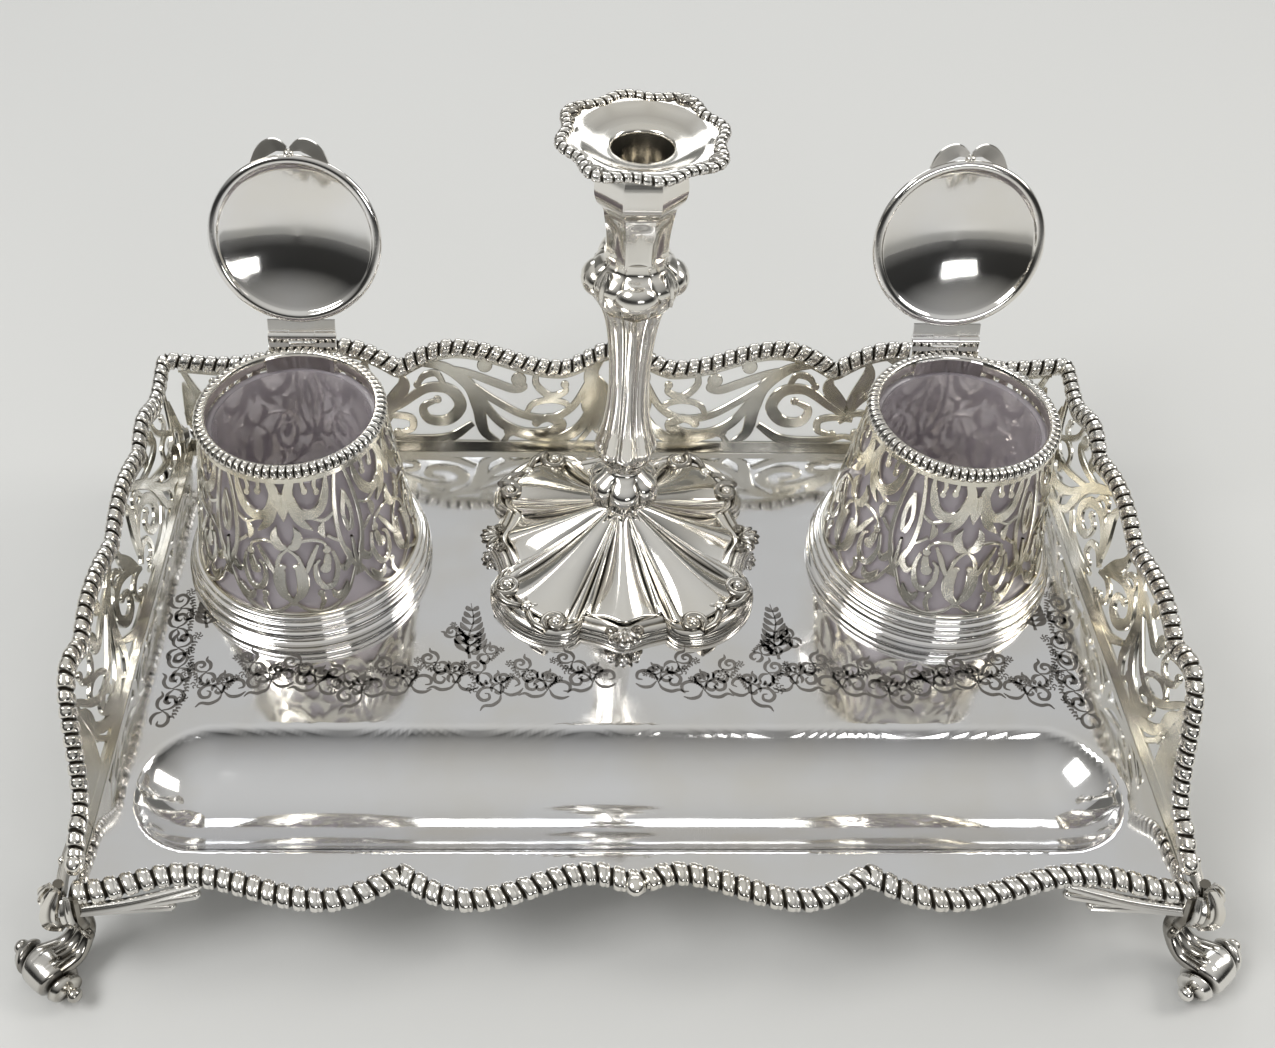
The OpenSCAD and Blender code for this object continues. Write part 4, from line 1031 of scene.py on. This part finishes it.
def plan_radius(a):
    """Radius of the foot's shaped outline at angle a: a shell on each axis and a lobe at each corner."""
    off_axis = math.degrees(a) % 90
    off_axis = min(off_axis, 90 - off_axis)
    lobe = max(0.0, math.sin(math.radians((off_axis - 20) * 3.6))) ** 0.45 if off_axis > 20 else 0.0
    return WAIST_R + (SHELL_R - WAIST_R) * hump(off_axis, 7) + (LOBE_R - WAIST_R) * min(1, lobe)


def stick_base():
    """The foot's double moulding, with a fan shell on each side and a pair of scrolls on each corner."""
    shells = Shells()
    profile = [(8.0, 0.3), (0.6, 0.3), (0.0, 0.7), (0.0, 1.6), (0.5, 2.1), (1.0, 2.5), (1.1, 3.2), (1.7, 4.3),
               (2.7, 4.9), (3.5, 4.5), (3.9, 3.9), (4.4, 4.6), (5.2, 5.2), (6.2, 4.9), (7.0, 4.2), (8.0, 3.8)]
    turned(shells, stick_at(), profile, 240, lambda a, inset, z: (plan_radius(a) - inset, z))
    for a in angles(4):
        out, side = around(a)
        base = Vector(stick_at(5.0)) + out * 40.0
        fan(shells, base, out, side, 5, 0.42, 3.0, (3.4, 0.95, 1.5), (0.7, 0.25))
        ball(shells, base + out * 3.6 - UP * 0.2, (2.3, 1.9, 1.8), (out, side, UP))
        for m in (-1, 1):
            ball(shells, base + out * 2.6 + side * m * 3.8 - UP * 0.6, (1.7, 1.5, 1.5), (out, side, UP))
            eye = base + side * m * 3.9 - UP * 0.2 - out * 0.4
            tube(shells, spiral(eye, 2.0, 0.5, 1.1 * m, 0, out, side, 24), lambda t: 0.8 - 0.2 * t, 8)
    for a in angles(4):
        out, side = around(a + math.pi / 4)
        base = Vector(stick_at(5.2)) + out * 43.2
        for m in (-1, 1):
            eye = base + side * m * 11.0 - out * 1.8
            tube(shells, spiral(eye, 4.4, 1.2, -1.3 * m, 0, out, side), lambda t: 1.5 - 0.5 * t)
            ball(shells, eye + UP * 0.6, (1.7, 1.7, 1.7))
            sweep = [eye + out * 4.4, base + out * 3.2 + side * m * 6.2, base + out * 1.2 + side * m * 1.6]
            tube(shells, catmull(sweep), lambda t: 1.5 - 0.4 * t)
        fan(shells, base, -out, side, 3, 0.75, 3.2, (3.0, 1.2, 1.1), (0.5, 0), 0.4)
        ball(shells, base + UP * 0.7, (1.9, 1.9, 1.6))
    shells.piece("stick_base_moulding", CAST, "taper_stick", "stick_moulding", 50)


def stick_dome():
    """The petalled dome: eight broad convex petals parted by pairs of narrow ribs."""
    shells = Shells()
    steps, count = 40, 640
    neck = 5.2
    top, painted_shade = [], []
    for i in range(steps + 1):
        t = i / steps
        rise = DOME_LOW + (KNOP_Z + 0.6 - DOME_LOW) * t ** 1.75
        fullness = math.sin(math.pi * min(1, 0.06 + t * 0.94)) ** 0.6 * (1 - 0.3 * t)
        row = []
        for a in angles(count):
            outer = plan_radius(a) - DOME_INSET
            r = outer + (neck - outer) * t
            u = abs(across(a, SECTORS)) / 2
            petal = math.cos(math.pi / 2 * min(1, u / 0.385)) ** 0.75 * 4.2
            rib = math.cos(math.pi / 2 * min(1, abs(u - 0.445) / 0.052)) ** 0.6 * 2.9
            row.append((STICK.x + r * math.cos(a), STICK.y + r * math.sin(a),
                        DECK_Z + rise + fullness * max(petal, rib)))
            # Painted shade in the creases between petals and ribs, fading in from the dome's lower edge.
            crease = hump(u - 0.389, 0.014) + 0.6 * hump(u - 0.5, 0.01)
            painted_shade.append(0.75 * crease * smooth(t * 6))
        top.append(row)
    shells.grid(top, cap=False, painted_shade=painted_shade)
    thicken(shells.piece("stick_dome", CAST_BRIGHT, "taper_stick", "stick_foot", 80), 1.0)


def stick_part(name, node, material, z, line, shape, count=144, sharp=60, more=None):
    """One turned part of the stick, from height z up, with whatever more(shells) adds to it."""
    shells = Shells()
    turned(shells, stick_at(z), line, count, shape, closed=False)
    if more:
        more(shells)
    shells.piece(name, material, "taper_stick", node, sharp)


def stick_knop():
    """Six lobes in a ball."""
    line = arc_profile([(5.4, 0), (6.2, 2.4), (7.6, 4.0), (10.8, 6.6), (11.7, 10.2), (10.8, 13.8),
                        (7.4, 16.6), (5.6, 18.2), (5.4, STEM_Z - KNOP_Z)], 5)

    def lobes(a, r, z):
        round_off = 1 - math.sqrt(max(0.0, 1 - across(a, 6) ** 2))
        return r * (1 - 0.22 * smooth((r - 5.6) / 3.0) * round_off), z

    stick_part("stick_knop_lobes", "stick_knop", CAST_BRIGHT, KNOP_Z, line, lobes)


def stick_stem():
    """The fluted stem, with a fine raised line beside each flute."""
    line = arc_profile([(5.5, 0), (8.4, 3.4), (9.4, 7.0), (8.4, 11.4), (7.2, 16), (6.2, 24), (5.9, 34),
                        (6.4, 45), (7.6, 55), (9.6, SHOULDER_Z - STEM_Z)])

    def flutes(a, r, z):
        u = abs(across(a, SECTORS))
        depth = smooth(z / 5.0) * (0.75 + 0.25 * smooth((z - 40) / 20))
        return r * (1 + depth * (0.05 - 0.20 * u ** 1.6 + 0.05 * hump(u - 0.93, 0.08))), z

    stick_part("stick_fluted_stem", "stick_stem", CAST_BRIGHT, STEM_Z, line, flutes, 160)


def stick_shoulder():
    """The shoulder: four large smooth lobes, and between them a leaf with a volute on each side."""
    tall = SOCKET_Z - SHOULDER_Z
    line = arc_profile([(9.4, 0), (11.6, 3.0), (13.0, 7.0), (13.2, 10.4), (11.4, 13.0), (9.2, 15.0),
                        (8.9, tall)], 5)

    def waves(a, r, z):
        weight = smooth(z / 4) * smooth((tall - z) / 5)
        return r * (1 + 0.10 * weight * (math.sqrt(max(0, 1 - across(a, SECTORS) ** 2)) - 0.6)), z

    def ornament(shells):
        for a in angles(4):
            out, side = around(a)
            centre = Vector(stick_at(SHOULDER_Z + 8.4)) + out * 10.6
            ball(shells, centre, (4.7, 6.4, 5.0), (out, side, UP), 14, 24)
            out, side = around(a + math.pi / 4)
            base = Vector(stick_at(SHOULDER_Z + 9.0)) + out * 12.6
            leaf = catmull([base - UP * 3.6, base + UP * 1.4, base + UP * 6.4 - out * 1.6], 6)
            blade(shells, leaf, belly(0.8, 3.4, 0.2, 0.76), 1.0, out, 0.2, 0.5)
            for m in (-1, 1):
                eye = base + side * m * 2.9 - out * 0.4
                tube(shells, spiral(eye, 1.8, 0.5, 1.1 * m, math.pi / 2, side, UP, 24),
                     lambda t: 0.9 - 0.25 * t, 8, out)

    stick_part("stick_shoulder_scrolls", "stick_shoulder", CAST, SHOULDER_Z, line, waves, more=ornament)


def stick_socket():
    """The socket: eight hollow panels under an eight-sided capital, bored for the nozzle."""
    tall = MOUTH_Z - SOCKET_Z
    bore = 9.6
    line = arc_profile([(9.1, 0), (8.9, 3), (9.2, 8), (10.0, 13.4), (10.4, 15.6), (12.4, 18.6), (13.1, 21.8),
                        (12.8, 25.4), (11.9, 28.6), (11.9, tall - 0.3)], 5)
    line += [(bore, tall - 0.2), (bore - 0.2, tall - 1.2), (bore - 0.2, tall - 16)]

    def panels(a, r, z):
        if r <= bore + 0.01 and z > 14:
            return r, z
        u = across(a, SECTORS)
        hollow = 0.06 * (1 - u * u) * smooth((15 - z) / 4)
        return r * (0.955 / math.cos(u * math.pi / SECTORS) - hollow), z

    stick_part("stick_panelled_socket", "stick_socket", CAST_BRIGHT, SOCKET_Z, line, panels, 160, 28)


def nozzle():
    """The loose nozzle: a sleeve, a dished pan and a shaped reeded edge with a shell at each corner."""
    shells = Shells()
    turn = math.radians(11)
    pan = NOZZLE_TOP - MOUTH_Z
    bore = 8.15

    def edge_radius(a):
        b = 4 * (a - turn)
        return 22.3 + 1.2 * math.cos(b * 2) - 0.6 * math.cos(b)

    def shaped(a, r, z):
        return (r if r < 18.0 else r * edge_radius(a) / 22), z

    profile = [(bore, -14.9), (9.0, -14.9), (9.0, 0.1), (11.6, 0.25), (13.4, 0.9), (15.6, 2.3), (17.2, 3.0),
               (18.2, pan - 2.8), (20.4, pan - 2.3), (18.4, pan - 1.5), (17.2, pan - 1.9), (16.2, pan - 2.2),
               (13.6, 2.3), (11.0, 1.8), (9.0, 1.5), (8.3, 1.0), (bore, 0.2)]
    turned(shells, stick_at(MOUTH_Z), profile, 160, shaped)
    path = []
    for a in angles(240) + [2 * math.pi]:
        r = edge_radius(a) - 1.0
        path.append((STICK.x + r * math.cos(a), STICK.y + r * math.sin(a), DECK_Z + NOZZLE_TOP - 1.9))
    gadroon(shells, path, UP, 3.4, 2.9, pitch=2.6, lean=0.6, count=10)
    for a in angles(4):
        out, side = around(a + turn + math.pi / 4)
        base = Vector(stick_at(NOZZLE_TOP - 1.9)) + out * 19.9
        fan(shells, base, out, side, 5, 0.5, 2.0, (2.5, 0.85, 1.6))
        for m in (-1, 1):
            eye = base + side * m * 4.9 + out * 0.3
            tube(shells, spiral(eye, 1.9, 0.5, -1.1 * m, 0, out, side, 20), lambda t: 0.95 - 0.25 * t, 8)
    shells.piece("nozzle_pan", CAST, "nozzle", "nozzle", 50)


# ---- CAD nodes that stay, with finished materials and softened edges ----
def finish_kept_nodes():
    for name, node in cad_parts.items():
        if node.hide_render:
            continue
        hinge = "hinge" in name or "leaf" in name
        node.data.materials.clear()
        node.data.materials.append(BRIGHT if hinge else DECK)
        if hinge:
            edge = node.modifiers.new("edge", "BEVEL")
            edge.width = 0.12 * MM
            edge.segments = 2
            edge.limit_method = "ANGLE"


# ---- Backdrop, light and camera, in metres ----
def backdrop():
    """A pale floor that curves up behind."""
    half_width, front, depth, bend, top = 6.0, -7.0, 2.4, 1.2, 3.0
    line = [(front, 0.0), (depth, 0.0)]
    line += [(depth + bend * math.sin(a), bend - bend * math.cos(a))
             for a in np.linspace(0.05, math.pi / 2, 14)]
    line.append((depth + bend, top))
    gap = 0.00005
    n = len(line)
    mesh = bpy.data.meshes.new("floor")
    mesh.from_pydata([(x, y, z - gap) for x in (-half_width, half_width) for y, z in line], [],
                     [(i, i + 1, n + i + 1, n + i) for i in range(n - 1)])
    mesh.shade_smooth()
    paper, _, shader = new_material("paper")
    shader.inputs["Base Color"].default_value = (0.66, 0.66, 0.645, 1)
    shader.inputs["Roughness"].default_value = 0.85
    mesh.materials.append(paper)
    floor = bpy.data.objects.new("floor", mesh)
    bpy.context.scene.collection.objects.link(floor)


def room():
    """What the silver reflects: a room that is dark low down in front, and a bright wall behind."""
    world = bpy.data.worlds.new("studio")
    bpy.context.scene.world = world
    world.use_nodes = True
    tree = world.node_tree
    where = tree.nodes.new("ShaderNodeTexCoord")
    split = tree.nodes.new("ShaderNodeSeparateXYZ")
    tree.links.new(where.outputs["Generated"], split.inputs["Vector"])
    behind = tree.nodes.new("ShaderNodeMapRange")
    behind.inputs["From Min"].default_value = -0.25
    behind.inputs["From Max"].default_value = 0.35
    tree.links.new(split.outputs["Y"], behind.inputs["Value"])
    front, wall = (ramp(tree, split.outputs["Z"], *((z, (v, v, v * 0.98)) for z, v in stops)) for stops in (
        ((0.0, 0.2), (0.10, 0.05), (0.30, 0.04), (0.46, 0.34), (0.80, 0.8), (1.0, 0.95)),
        ((0.0, 0.5), (0.4, 0.55), (0.6, 0.8), (1.0, 0.95))))
    colour = mix(tree, front, wall, 0.5)
    tree.links.new(behind.outputs["Result"], colour.node.inputs["Factor"])
    tree.links.new(colour, tree.nodes["Background"].inputs["Color"])
    tree.nodes["Background"].inputs["Strength"].default_value = 0.68


def lamp(name, place, size, power, colour=(1, 1, 1), target_z=0.05):
    """A soft rectangular lamp that faces the object."""
    data = bpy.data.lights.new(name, "AREA")
    data.shape = "RECTANGLE"
    data.size, data.size_y = size
    data.energy = power
    data.color = colour
    light = bpy.data.objects.new(name, data)
    light.location = place
    light.rotation_euler = (Vector((0, 0, target_z)) - Vector(place)).to_track_quat("-Z", "Y").to_euler()
    bpy.context.scene.collection.objects.link(light)


def camera():
    """The photograph's view, with its slight roll and the frame's offset from the lens axis."""
    eye = Vector((-0.02516, -0.28992, 0.37972))
    elevation, azimuth, roll = math.radians(43.41), math.radians(-1.32), math.radians(1.19)
    level = math.cos(elevation)
    forward = Vector((-math.sin(azimuth) * level, math.cos(azimuth) * level, -math.sin(elevation)))
    right = Vector((math.cos(azimuth), math.sin(azimuth), 0))
    upward = right.cross(forward)
    axes = Matrix((right * math.cos(roll) + upward * math.sin(roll),
                   upward * math.cos(roll) - right * math.sin(roll), -forward)).transposed()
    data = bpy.data.cameras.new("camera")
    data.sensor_width = 36
    data.lens = 40.37
    data.shift_x = 0.0542
    data.shift_y = -0.0477
    data.clip_start = 0.01
    view = bpy.data.objects.new("camera", data)
    view.matrix_world = Matrix.Translation(eye) @ axes.to_4x4()
    bpy.context.scene.collection.objects.link(view)
    bpy.context.scene.camera = view
    bpy.context.scene.view_settings.view_transform = "Standard"


backdrop()
room()
lamp("key", (-0.75, -0.35, 1.05), (0.62, 0.46), 7.5)
lamp("fill", (0.95, 0.1, 0.8), (0.34, 0.6), 4, (1, 0.98, 0.95))
lamp("back", (0.0, 1.15, 0.75), (1.3, 0.4), 4.5, (0.96, 0.98, 1))
lamp("front", (0.35, -1.1, 0.45), (0.4, 0.16), 1.6, target_z=0.06)
camera()
deck()
engraving()
back_gallery()
for x_side, end_name in ((-1, "left"), (1, "right")):
    end_gallery(x_side, end_name)
borders()
for y_side, row_name in ((-1, "front"), (1, "back")):
    for x_side, end_name in ((-1, "left"), (1, "right")):
        foot(f"{row_name}_{end_name}_foot", x_side, y_side)
for pot_side in ("left", "right"):
    scroll_drum(pot_side)
    pot_base(pot_side)
    pot_rim(pot_side)
    pot_glass(pot_side)
    pot_lid(pot_side)
    thumbpiece(pot_side)
stick_base()
stick_dome()
stick_knop()
stick_stem()
stick_shoulder()
stick_socket()
nozzle()
finish_kept_nodes()
